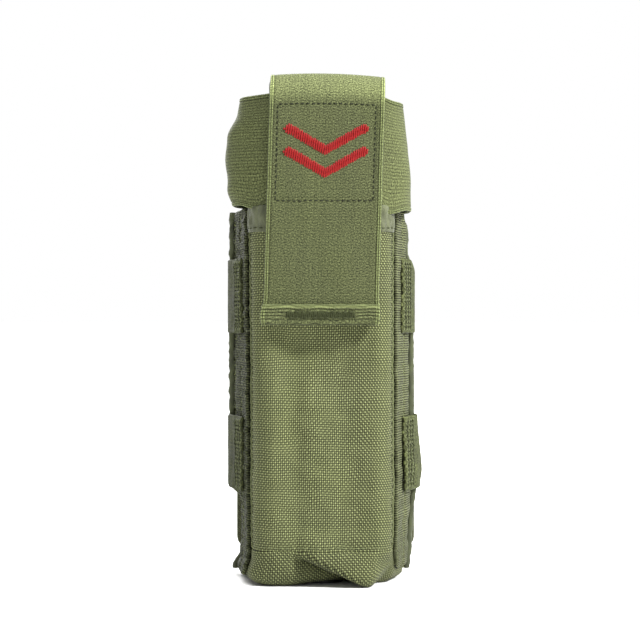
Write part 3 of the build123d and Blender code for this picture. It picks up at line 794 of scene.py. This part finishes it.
def gusset_cloth(name, side):
    """The side wall, from its seam with the front to the back panel."""
    start = 0.0 if side < 0 else WALL.length - SEAM_S
    u, v = samples(SEAM_S, 1.2), samples(WALL_HEIGHT, 1.6)

    def middle(s, z):
        return sag(upright(WALL, s + start, z + SEAM_Z, -CLOTH / 2))

    made = Cloth(u, v, middle, CLOTH).make(f"gusset_cloth_{name}", GREEN_CLOTH)
    piece(made, "pouch", "body_cloth", f"gusset_{name}")


def mouth_tape():
    """Tape folded over the front's upper edge, wrinkled where it was sewn."""
    foot = mm_box("mouth_binding")[0][2] - 2.5
    gap = 0.35
    top = MOUTH_Z + gap
    section = Line(rounded([(gap, foot), (gap, top), (-CLOTH - gap, top), (-CLOTH - gap, foot)], 0.9))
    u, v = samples(PANEL_WIDTH, 0.6), samples(section.length, 0.35, edge=0.25)

    def middle(s, w):
        across = section.at(w)
        crease = 0.28 * ripple(s, w * 0.6, 4.2, 21) * smooth(across[..., 1], foot, foot + 2.5)
        return sag(upright(WALL, s + SEAM_S, across[..., 1], across[..., 0] + crease))

    cloth = Cloth(u, v, middle, TAPE)
    made = piece(cloth.make("mouth_tape", TAPE_FINISH), "pouch", "tape", "mouth_binding")
    threads = Threads()
    threads.sew(cloth, [(1.0, 1.3), (PANEL_WIDTH - 1.0, 1.3)], pitch=2.4, seed=6)
    sewn(threads, "mouth_stitches", DARK_THREAD)


def bottom_cloth():
    """The floor and its low wall in one sheet, drawn in round the eyelet's neck."""
    round_r, rear_top = 4.6, 2.6
    neck_y, hole_r = mm_middle("drain_eyelet")[1], 3.6
    corners = [WALL_CORNERS[-1], *WALL_CORNERS[:-1]]
    outline = Line(rounded(corners, [1.2, 1.2, CORNER_R, CORNER_R], closed=True), closed=True)
    u = np.linspace(0, outline.length, 190, endpoint=False)
    arc = round_r * math.pi / 2
    floor, wall = 20.0, SEAM_Z - round_r
    v = samples(floor + arc + wall, 0.6)

    def middle(s, w):
        inward = np.clip(w / floor, 0, 1)
        turn = np.clip((w - floor) / arc, 0, 1) * math.pi / 2
        rise = np.clip((w - floor - arc) / wall, 0, 1)
        plan = outline.at(s)
        rear = smooth(plan[..., 1], -4.5, -2.0)
        top = SEAM_Z + (rear_top - SEAM_Z) * rear
        edge_r = round_r + (1.2 - round_r) * rear
        out = -CLOTH / 2 - edge_r * (1 - np.sin(turn))
        z = CLOTH / 2 + (edge_r - CLOTH / 2) * (1 - np.cos(turn)) + rise * (top - edge_r)
        rim = plan + outline.outward(s) * out[..., None]
        bearing = np.arctan2(plan[..., 1] - neck_y, plan[..., 0])
        hole = np.stack([hole_r * np.cos(bearing), neck_y + hole_r * np.sin(bearing)], axis=-1)
        place = hole + (rim - hole) * inward[..., None]
        # The floor stands on the eyelet's flange, so it is a little lower round its rim.
        z = z + 0.9 * (1 - smooth(np.linalg.norm(place - (0, neck_y), axis=-1), 6.5, 11))
        return sag(xyz(place[..., 0], place[..., 1], z))

    cloth = Cloth(u, v, middle, CLOTH, closed=True)
    made = piece(cloth.make("bottom_cloth", GREEN_CLOTH), "pouch", "body_cloth", "bottom_cap")


def back_cloth():
    half = EDGE_HALF - TAPE
    u, v = samples(2 * half, 1.6), samples(BACK_HEIGHT, 1.8)

    def middle(s, z):
        return sag(xyz(half - s, -BACK_CLOTH / 2, z + BACK_FOOT))

    cloth = Cloth(u, v, middle, BACK_CLOTH)
    made = piece(cloth.make("back_cloth", GREEN_CLOTH), "pouch", "body_cloth", "back_panel")


def edge_tape(name, side, threads):
    """Tape folded round a long edge of the back panel, sewn through."""
    inner = EDGE_HALF - 4.0
    lap = mm_box("side_webbing_right")[1][0] + 0.4
    out, front, rear = EDGE_HALF - TAPE / 2, -BACK_CLOTH - TAPE / 2, TAPE / 2
    section = Line(rounded([(lap, front), (out, front), (out, rear), (inner, rear)], 0.8))
    u, v = samples(section.length, 0.4, edge=0.25), samples(BACK_HEIGHT, 1.0)

    def middle(s, z):
        at = section.at(s if side > 0 else section.length - s)
        crease = 0.2 * ripple(s, z, 3.6, 31 + side)
        return sag(xyz(side * (at[..., 0] + crease), at[..., 1], z + BACK_FOOT))

    cloth = Cloth(u, v, middle, TAPE)
    piece(cloth.make(f"edge_tape_{name}", EDGE_FINISH), "pouch", "tape", f"edge_binding_{name}")
    rear_s = section.length - 1.0 if side > 0 else 1.0
    threads.sew(cloth, [(rear_s, 1), (rear_s, BACK_HEIGHT - 1)], seed=30 + side)


def side_strip(name, side, threads):
    """Upright webbing on the gusset, crushed and creased, the left one more than the right one."""
    mess, raise_foot = {"left": (0.3, 2.5), "right": (0.1, 4.0)}[name]
    (_, front, foot), (_, rear, top) = mm_box(f"side_webbing_{name}")
    run = math.hypot(rear - front, (rear - front) * GUSSET_SLOPE)
    u, v = samples(run, 0.7), samples(top - foot, 0.8)

    def middle(s, z):
        y = front + (rear - front) * (s if side > 0 else run - s) / run
        x = FRONT_HALF + (y - FRONT_Y) * GUSSET_SLOPE + 0.05 + WEB_THICK / 2
        crush = 0.14 * ripple(s * 0.4, z, 9, 41 + side) + mess * ripple(s, z, 2.8, 43 + side)
        cup = 0.3 * np.abs(2 * s / run - 1) ** 3
        raised = z + foot + raise_foot * (1 - smooth(z, 0, 16))
        return sag(xyz(side * (x + crush + cup), y, raised))

    lines = [((d, 0), (d, top - foot)) for d in (2.2, run / 2, run - 2.2)]
    cloth = Cloth(u, v, middle, WEB_THICK, relief=lambda s, z: groove(s, z, lines, 0.45, 0.8))
    made = cloth.make(f"side_strip_{name}", STRIP_FINISHES[name])
    piece(made, "pouch", "webbing", f"side_webbing_{name}")
    for i, (start, end) in enumerate(lines):
        corners = [(start[0], 1.5), (end[0], end[1] - 1.5)]
        threads.sew(cloth, corners, pitch=2.4, radius=0.26, seed=50 + 3 * i + side)


def row_line():
    """The plan line of a row's middle, from the right gusset round the back to the left one."""
    (_, end_y, _), (right_face, rear_face, _) = mm_box("back_row_lower")
    half, rear = right_face - ROW_THICK / 2, rear_face - ROW_THICK / 2
    end_x = FRONT_HALF + (end_y - FRONT_Y) * GUSSET_SLOPE + WEB_THICK + 0.2 + ROW_THICK / 2
    bend_y = -3.2
    right = [(end_x, end_y), (half, bend_y), (half, rear)]
    return Line(rounded([*right, *[(-x, y) for x, y in reversed(right)]], [4.0, 1.1, 1.1, 4.0]))


def back_row(name, tacks, edges):
    """A row of webbing whose ends are tacked on to both gussets, with more stitching along the tacks."""
    line = row_line()
    low = mm_box(name)[0]
    u, v = samples(line.length, 0.7), samples(WEBBING, 0.8)
    wander, tight = {"back_row_lower": (61, 0.0), "back_row_upper": (62, 1.0)}[name]

    def middle(s, z):
        p = upright(line, s + 1.5 * (1 - smooth(s, 0, 22)), z + low[2])
        x, rear = p[..., 0], smooth(p[..., 1], -2, 1)
        loose = 0.3 * rear * np.abs(np.sin(x / STRAP_GRID * math.tau)) * smooth(26 - np.abs(x), 0, 4)
        crush = 0.2 * (1 - rear) * ripple(s, z, 8, wander) + 0.06 * ripple(s, z, 3, wander)
        out = line.outward(s) * (loose + crush * smooth(31.5 - np.abs(x), -3, 1.5))[..., None]
        p[..., :2] += out
        p[..., 0] += 0.9 * smooth(-p[..., 0], 26, 33) - tight * smooth(p[..., 0], 26, 33)
        return sag(p)

    cloth = Cloth(u, v, middle, ROW_THICK)
    made = cloth.make(name.replace("back_", "") + "_webbing", ROW_FINISH)
    piece(made, "pouch", "webbing", name)

    def upright_tacks(threads, columns, inset, width, step, **look):
        for i, s in enumerate(columns):
            start, end = (s, inset), (s, WEBBING - inset)
            threads.tack(cloth, start, end, width, seed=wander + step * i, **look)

    def both_ends(*columns):
        return [*columns, *[line.length - s for s in columns]]

    upright_tacks(tacks, [line.length / 2], 1.2, 2.4, 0, pitch=0.95)
    upright_tacks(edges, both_ends(1.0, 3.6, 6.3), 0.8, 1.1, 7, pitch=1.25, slant=1.2)
    upright_tacks(tacks, both_ends(2.3, 4.9, 7.7), 1.2, 1.9, 5, pitch=0.83, radius=0.26, slant=1.3)


def carrying_strap(name, side, threads):
    """A strap with its sewn tab: it runs down over both rows to its snap."""
    strap = f"molle_strap_{name}"
    low, high = mm_box(strap)
    x_mid, strap_y, _ = mm_middle(strap)
    tab_y = mm_middle("molle_tabs")[1]
    hinge_z, corner_r = high[2], 5.0
    skew, inset = {"left": (0.0, 1.3), "right": (2.8, 0.0)}[name]
    length = mm_box("molle_tabs")[1][2] - low[2]
    u, v = samples(WEBBING, 0.9), samples(length, 1.2)

    def middle(s, w):
        foot = corner_cut(s, WEBBING, corner_r)
        z = low[2] + foot + (length - foot) * w / length
        y = tab_y + (strap_y - tab_y) * (1 - smooth(z, hinge_z - 6, hinge_z + 3))
        y = y + 0.12 * ripple(s, z, 17, 70 + side) * (1 - smooth(z, hinge_z - 8, hinge_z))
        x = x_mid + WEBBING / 2 - s - skew * smooth(z, hinge_z - 46, hinge_z + 2) + inset
        return xyz(x, y, z)

    cloth = Cloth(u, v, middle, high[1] - low[1])
    made = cloth.make(f"carrying_strap_{name}", WEB_FINISH)
    hinge_y = (tab_y + strap_y) / 2
    bend = [to_frame((x_mid, hinge_y, hinge_z + rise)) for rise in (6, -8)]
    piece(made, None, "webbing", strap, "molle_tabs", between=("pouch", strap, *bend))
    top = length - 1.6
    box = [(2, top), (WEBBING - 2, top), (WEBBING - 2, top - 5), (2, top - 5), (2, top)]
    threads.sew(cloth, box, pitch=2.2, seed=73 + side)
    threads.tack(cloth, (3, top - 2.5), (WEBBING - 3, top - 2.5), 2.0, seed=75 + side)


# ---------------------------------------------------------------- elastic ring and flap


def selvedge(across, cord, gap):
    """The relief of the two cords along each edge of the elastic, and of the gap beside them."""
    depth = np.minimum(across, ELASTIC - across)
    return cord * (hump(depth, 0.4, 0.4) + hump(depth, 1.1, 0.35)) - gap * hump(depth, 1.55, 0.3)


def ring_half(z, x):
    """Half width of the ring at each height: the left side stands out further than the right."""
    left = 30.6 + 2.2 * smooth(z, 126.5, 133) - 3.6 * smooth(z, 149.5, 158) - 0.9 * smooth(z, 157, 164)
    right = 29.4 - 1.2 * smooth(z, 133, 148) - 1.6 * smooth(z, 146, 162)
    return np.where(x < 0, left, right)


def ring_cloth():
    low, high = mm_box("elastic_ring")
    nominal, corner_r = 30.0, 13.0
    rear, front = high[1] - RING_THICK / 2, low[1] + RING_THICK / 2
    corners = [(nominal, rear), (-nominal, rear), (-nominal, front), (nominal, front)]
    outline = Line(rounded(corners, corner_r, closed=True), closed=True)
    u = np.linspace(0, outline.length, round(outline.length / 0.9), endpoint=False)
    fine = np.linspace(0.6, 2.4, 11)
    v = np.unique(np.round(np.concatenate([samples(ELASTIC, 0.8), fine, ELASTIC - fine]), 4))

    def middle(s, w):
        plan = outline.at(s)
        x, y = plan[..., 0], plan[..., 1]
        ear = smooth(np.abs(x), 17, 28)
        tuck = smooth(np.abs(x), 17, 22) * (1 - smooth(np.abs(x), 22, 29)) * smooth(-y, 20, 34)
        dip = 0.6 * ear + 1.2 * smooth(-x, 8, 17) + 1.0 * smooth(x, 20, 28)
        z = low[2] + w - dip * smooth(w, 20, 38) - 1.8 * tuck * (1 - smooth(w, 0, 14))
        z = z - 1.9 * smooth(x, 8, 28)
        squeeze = (ring_half(z, x) - RING_THICK / 2) / nominal
        wave = 0.25 * ripple(s * 0.35, z, 9, 81) * ear
        x = x * (1 + (squeeze - 1) * smooth(np.abs(x), 4, 24)) + wave * np.sign(x)
        y = y + 0.9 * tuck
        return xyz(x, y, z)

    cloth = Cloth(u, v, middle, RING_THICK, closed=True, relief=lambda s, w: selvedge(w, 0.12, 0.16))
    made = piece(cloth.make("ring_elastic", RING_FINISH), "pouch", "elastic", "elastic_ring")


def strap_line():
    """The flap strap's middle line in y and z, from its folded end up the front and down the back."""
    riser_y, riser_foot = mm_middle("flap_riser")[1], mm_box("flap_riser")[0][2]
    top_z = mm_box("flap_top")[1][2] - FLAP_THICK / 2
    _, hem_y, foot = mm_box("flap_front")[0] + FLAP_THICK / 2
    hem_top = mm_box("hem_tack")[1][2] + 1.6
    points = [(hem_y, hem_top), (hem_y, foot), (hem_y + HEM_LIFT, foot), (hem_y + HEM_LIFT, top_z)]
    points += [(riser_y, top_z), (riser_y, riser_foot)]
    return Line(rounded(points, [0.79, 0.79, FLAP_BEND_R, 3.2]))


def flap_strap():
    """The flap in two lengths that meet on the top."""
    line = strap_line()
    top_z = line.points[:, 1].max()
    face_y = line.points[:, 0].min() + HEM_LIFT
    fine = np.linspace(0.6, 2.2, 12)
    u = np.unique(np.round(np.concatenate([samples(ELASTIC, 1.0), fine, ELASTIC - fine]), 4))
    hem = np.linspace(0.6, 18, 84)
    v = np.unique(np.round(np.concatenate([samples(line.length, 0.9), hem]), 4))

    def middle(s, w):
        at = line.at(w)
        y, z = at[..., 0], at[..., 1]
        x = s - STRAP_X
        over = smooth(-y, 4, 30)
        face = smooth(-y, 28, 40)
        drop = np.clip((top_z - z) / (top_z - 88), 0, 1)
        shift = 1.3 * over - 2.4 * drop * face
        crown = (-0.9 * (x / STRAP_X) ** 2 - 0.02 * x) * over * smooth(z, 148, 168)
        puff = -0.35 * (1 - (x / STRAP_X) ** 2) * face * hump(z, 112, 26)
        wave = 0.16 * ripple(x, z, 21, 91) * face
        flare = np.where(x < 0, -1.0, 0.5) * (np.abs(x) / STRAP_X) ** 4 * hump(z, 90, 6) * face
        return xyz(x + shift + flare, y + puff + wave, z + crown)

    rect = flap_rectangle(line)

    def relief(s, w):
        return selvedge(s, 0.14, 0.2) + groove(s, w, list(zip(rect[:-1], rect[1:])), 0.3, 0.75)

    def hem_ridges(s, w):
        row = w + 0.25 * ripple(s, w, 12, 93)
        return 0.16 * np.sin(row / 1.05 * math.tau) * (1 - smooth(w, 5.5, 7.5))

    cloth = Cloth(u, v, middle, FLAP_THICK, relief=relief, inner_relief=hem_ridges)
    top_middle = (line.points[:, 0].max() + face_y) / 2
    reach = np.abs(line.at(v) - (top_middle, top_z)).sum(axis=1)
    split = int(np.argmin(reach))
    bend = np.abs(line.at(v) - (face_y + 0.29 * FLAP_BEND_R, top_z - 0.29 * FLAP_BEND_R)).sum(axis=1)
    # Where the flap's colour is painted paler over the bend, a painted highlight for the light from
    # above.
    bend_highlight = (float(v[np.argmin(bend)]), 9.0)
    # The hem's rows and cut end are painted with light and shade.
    finish = knit_elastic("flap_finish", *FLAP_COLOURS, bend_highlight=bend_highlight, hem=7.0)
    front = cloth.make("flap_front_length", finish, slice(0, split + 1))
    rear = cloth.make("flap_rear_length", finish, slice(split, None))
    fold = [to_frame((0, y, z)) for y, z in ((face_y + 10.5, top_z), (face_y, top_z - 11.5))]
    piece(front, None, "elastic", "flap_front", between=("flap_top", "flap_front", *fold))
    hinge_y = line.points[:, 0].max()
    fold = [to_frame((0, y, z)) for y, z in ((hinge_y, top_z - 7), (hinge_y - 6.5, top_z))]
    piece(rear, None, "elastic", "flap_riser", "flap_top", between=("pouch", "flap_top", *fold))
    threads = Threads()
    threads.sew(cloth, rect, pitch=1.8, fill=0.72, seed=95)
    sewn(threads, "flap_stitches", SEAM_THREAD, body="flap_front")
    return cloth, line


def height_on(line, z):
    """The distances along the flap's line at which its face reaches these heights."""
    s = np.linspace(0, line.length, 4001)
    at = line.at(s)
    face = np.abs(at[:, 0] - line.points[:, 0].min() - HEM_LIFT) < 0.02
    return s[face][np.abs(at[face, 1] - np.asarray(z)[..., None]).argmin(axis=-1)]


def flap_rectangle(line):
    """Corners of the stitching that holds the hook patch, on the flap's face."""
    low, high = mm_box("hook_patch")
    inset = 0.4
    left, right = STRAP_X + low[0] + inset, STRAP_X + high[0] - inset
    foot, top = height_on(line, low[2] + inset), height_on(line, high[2] - inset)
    return [(left, foot), (right, foot), (right, top), (left, top), (left, foot)]


def patch(name, node, body, finish, seed):
    """A fastener patch with an uneven pile."""
    low, high = mm_box(node)
    y = mm_middle(node)[1]
    width, height = high[0] - low[0], high[2] - low[2]
    u, v = samples(width, 0.5), samples(height, 0.5)

    def middle(s, z):
        x = low[0] + s if name == "loop_pile" else high[0] - s
        return xyz(x, y, low[2] + z)

    def tufts(s, z):
        return 0.16 * ripple(s, z, 1.3, seed, terms=11)

    cloth = Cloth(u, v, middle, high[1] - low[1] - 0.1, relief=tufts)
    made = piece(cloth.make(name, finish), body, "fastener_patch", node)


def embroidery(cloth, line):
    """Two chevrons in satin stitch, their threads upright and laid close over a rounded pad."""
    low, high = mm_box("embroidered_mark")
    stroke, pitch, drop = 3.6, 7.5, 7.0
    half_width = (high[0] - low[0] - stroke) / 2
    lean = math.cos(math.atan2(drop, half_width))
    middle_z = (low[2] + high[2]) / 2
    threads = Threads()
    for offset in (pitch / 2, -pitch / 2):
        foot_z = middle_z + offset - drop / 2
        x = np.arange(-half_width - stroke / 2, half_width + stroke / 2, 0.72)
        beyond = np.clip((np.abs(x) - half_width) / (stroke / 2), 0, 0.98)
        half = stroke / 2 / lean * np.sqrt(1 - beyond**2)
        half = half * np.random.default_rng(101).uniform(0.9, 1.12, len(x))
        z = foot_z + np.minimum(np.abs(x), half_width) / half_width * drop
        starts, up = cloth.on(x + STRAP_X - 0.18, height_on(line, z - half))
        ends, _ = cloth.on(x + STRAP_X + 0.18, height_on(line, z + half))
        threads.add(starts, ends, up, radius=0.34, rise=0.85)
        pad = np.linspace(-half_width, half_width, 40)
        for row in (-0.55, 0.55):
            mid = foot_z + np.abs(pad) / half_width * drop + row
            points, ups = cloth.on(pad + STRAP_X, height_on(line, mid))
            threads.add(points[:-1], points[1:], ups[:-1], radius=0.4, rise=0.02)
    sewn(threads, "mark_threads", RED_THREAD, "embroidered_mark", body="flap_front", slot="red_thread")


def hem_stitches(cloth):
    """The bar tack across the folded hem."""
    low, high = mm_box("hem_tack")
    threads = Threads()
    hem_v = 3.4
    start, end = (STRAP_X + low[0], hem_v), (STRAP_X + high[0], hem_v)
    look = dict(radius=0.3, face=-1)
    threads.tack(cloth, start, end, high[2] - low[2], pitch=0.62, slant=0.35, seed=111, **look)
    for shift in (-0.9, 0.9):
        line = [(start[0] + 0.5, hem_v + shift), (end[0] - 0.5, hem_v + shift)]
        threads.sew(cloth, line, pitch=1.9, fill=0.9, seed=113, **look)
    sewn(threads, "hem_stitches", DARK_THREAD, "hem_tack", body="flap_front")


# ---------------------------------------------------------------- folded tourniquet


def band_line():
    """The strap in y and z: three turns wound inwards as a flat coil, each round both of its ends."""
    (_, front, foot), (_, rear, top) = mm_box("tq_band")
    points, radii = [(front + BAND_LAYER / 2, foot + 6)], []
    for turn in range(BAND_TURNS):
        inset = BAND_LAYER / 2 + turn * BAND_PITCH
        reach = (rear - front) / 2 - inset
        points += [(front + inset, top - inset), (rear - inset, top - inset)]
        points += [(rear - inset, foot + inset), (front + inset + BAND_PITCH, foot + inset)]
        radii += [reach - 0.02] * 2 + [reach - BAND_PITCH / 2 - 0.02] * 2  # nearly half circles
    return Line(rounded(points[:-2], radii[:-3]))


def tourniquet_band():
    half, line = mm_box("tq_band")[1][0], band_line()
    u, v = samples(2 * half, 1.5), samples(line.length, 1.6)

    def middle(s, w):
        at = line.at(w)
        return xyz(s - half + 0.25 * ripple(w, s * 0, 60, 121), at[..., 0], at[..., 1])

    cloth = Cloth(u, v, middle, BAND_LAYER)
    made = piece(cloth.make("band_webbing", BAND_FINISH), "tourniquet", "black_band", "tq_band")


def flat_band(name, node, finish, slot_name):
    """A short flat length of band, cut square with rounded corners."""
    low, high = mm_box(node)
    width, height, thick = high[0] - low[0], high[2] - low[2], high[1] - low[1]
    u, v = samples(width, 0.8), samples(height, 0.8)

    def middle(s, z):
        cut = corner_cut(s, width, 3.0)
        x = low[0] + s
        up = low[2] + cut + (height - 2 * cut) * z / height
        return xyz(x, (low[1] + high[1]) / 2 + 0.1 * ripple(x, up, 14, 131), up)

    cloth = Cloth(u, v, middle, thick)
    piece(cloth.make(name, finish), "tourniquet", slot_name, node)


def inner_ribbon():
    """The ribbon from the plate through the rod's slot and back."""
    low, high = mm_box("tq_ribbon")
    plate = mm_box("tq_plate")[0][1]
    thick = 1.2
    rod_y = mm_middle("tq_windlass")[1]
    base = plate - 0.05 - thick / 2
    points = [(-15, base), (-10, base), (-7, rod_y), (7, rod_y), (10, base), (15, base)]
    line = Line(rounded(points, 1.6))
    height = high[2] - low[2]
    u, v = samples(line.length, 0.5), samples(height, 0.9)
    cloth = Cloth(u, v, lambda s, z: upright(line, s, z + low[2]), thick)
    piece(cloth.make("inner_ribbon", BAND_FINISH), "tourniquet", "black_band", "tq_ribbon")


# ---------------------------------------------------------------- build

front_cloth()
for side_name, sign in SIDES.items():
    gusset_cloth(side_name, sign)
mouth_tape()
bottom_cloth()
back_cloth()
body_threads, tab_threads, tacks, row_edges = (Threads() for _ in range(4))
for side_name, sign in SIDES.items():
    edge_tape(side_name, sign, body_threads)
    side_strip(side_name, sign, body_threads)
    carrying_strap(side_name, sign, tab_threads)
for row in ("back_row_lower", "back_row_upper"):
    back_row(row, tacks, row_edges)
sewn(body_threads, "body_stitches", THREAD)
sewn(tab_threads, "tab_stitches", THREAD)
sewn(tacks, "tack_stitches", DARK_THREAD, "webbing_tacks")
sewn(row_edges, "row_edge_stitches", THREAD)
ring_cloth()
flap, flap_line = flap_strap()
patch("loop_pile", "loop_patch", "pouch", LOOP_FINISH, 97)
patch("hook_pile", "hook_patch", "flap_front", HOOK_FINISH, 98)
embroidery(flap, flap_line)
hem_stitches(flap)
tourniquet_band()
flat_band("tail_tip", "tq_tail_tip", TAB_FINISH, "red_tab")
flat_band("retention_band", "tq_retention_strap", GREY_FINISH, "grey_band")
inner_ribbon()

CAD_FINISHES = {
    BLACK_METAL: ["drain_eyelet", "eyelet_washer", "snap_studs", "stud_washers"]
    + [f"snap_{part}_{name}" for part in ("cap", "socket") for name in SIDES],
    BLACK_PLASTIC: ["tq_plate", "tq_buckle", "tq_windlass", "tq_clip"],
}
for finish, nodes in CAD_FINISHES.items():
    for node in nodes:
        for material_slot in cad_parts[node].material_slots:
            material_slot.material = finish

# ---------------------------------------------------------------- stage, light and camera


def floor():
    size, finish = 60.0, Finish("pale_floor", roughness=0.9)
    speck = finish.object_noise(40.0)
    finish.done(finish.colour(speck, (0.76, 0.76, 0.76, 1), (0.79, 0.79, 0.78, 1)), speck, 0.05)
    mesh = bpy.data.meshes.new("floor")
    corners = [(-size, -size, 0), (size, -size, 0), (size, size, 0), (-size, size, 0)]
    mesh.from_pydata(corners, [], [(0, 1, 2, 3)])
    mesh.materials.append(finish.material)
    linked("floor", mesh)


def area_light(name, place, size, power):
    """A lamp that shines on the middle of the tourniquet."""
    lamp = bpy.data.lights.new(name, "AREA")
    lamp.energy, lamp.size = power, size
    made = linked(name, lamp)
    made.location = place
    made.rotation_euler = (Vector((0, 0, 0.09)) - made.location).to_track_quat("-Z", "Y").to_euler()


def studio():
    """A white band round the horizon, and a bright patch overhead, in a dimmer sky."""
    world = bpy.data.worlds.new("studio")
    bpy.context.scene.world = world
    sky = Nodes(world)
    height = sky.node("ShaderNodeSeparateXYZ", {0: sky.node("ShaderNodeTexCoord")}, output=2)
    band = sky.span(sky.math("ABSOLUTE", height), 0.2, 0.5, 1.0, 0.3)
    background = sky.tree.nodes["Background"].inputs
    background["Color"].default_value = (1, 1, 1, 1)
    sky.feed(background["Strength"], band + sky.span(height, 0.75, 0.95, 0.0, 4.4))


floor()
studio()
area_light("key", (0.93, -0.66, 0.95), size=0.26, power=46)
area_light("rear", (-0.35, 1.1, 0.55), size=0.6, power=22)
bpy.context.scene.view_settings.view_transform = "Standard"

camera = bpy.data.cameras.new("camera")
camera.sensor_width = 36.0
camera.lens = 109.1
camera_object = linked("camera", camera)
camera_object.location = (-0.0013, -0.659, 0.0885)
camera_object.rotation_euler = (math.pi / 2, 0, 0)
bpy.context.scene.camera = camera_object
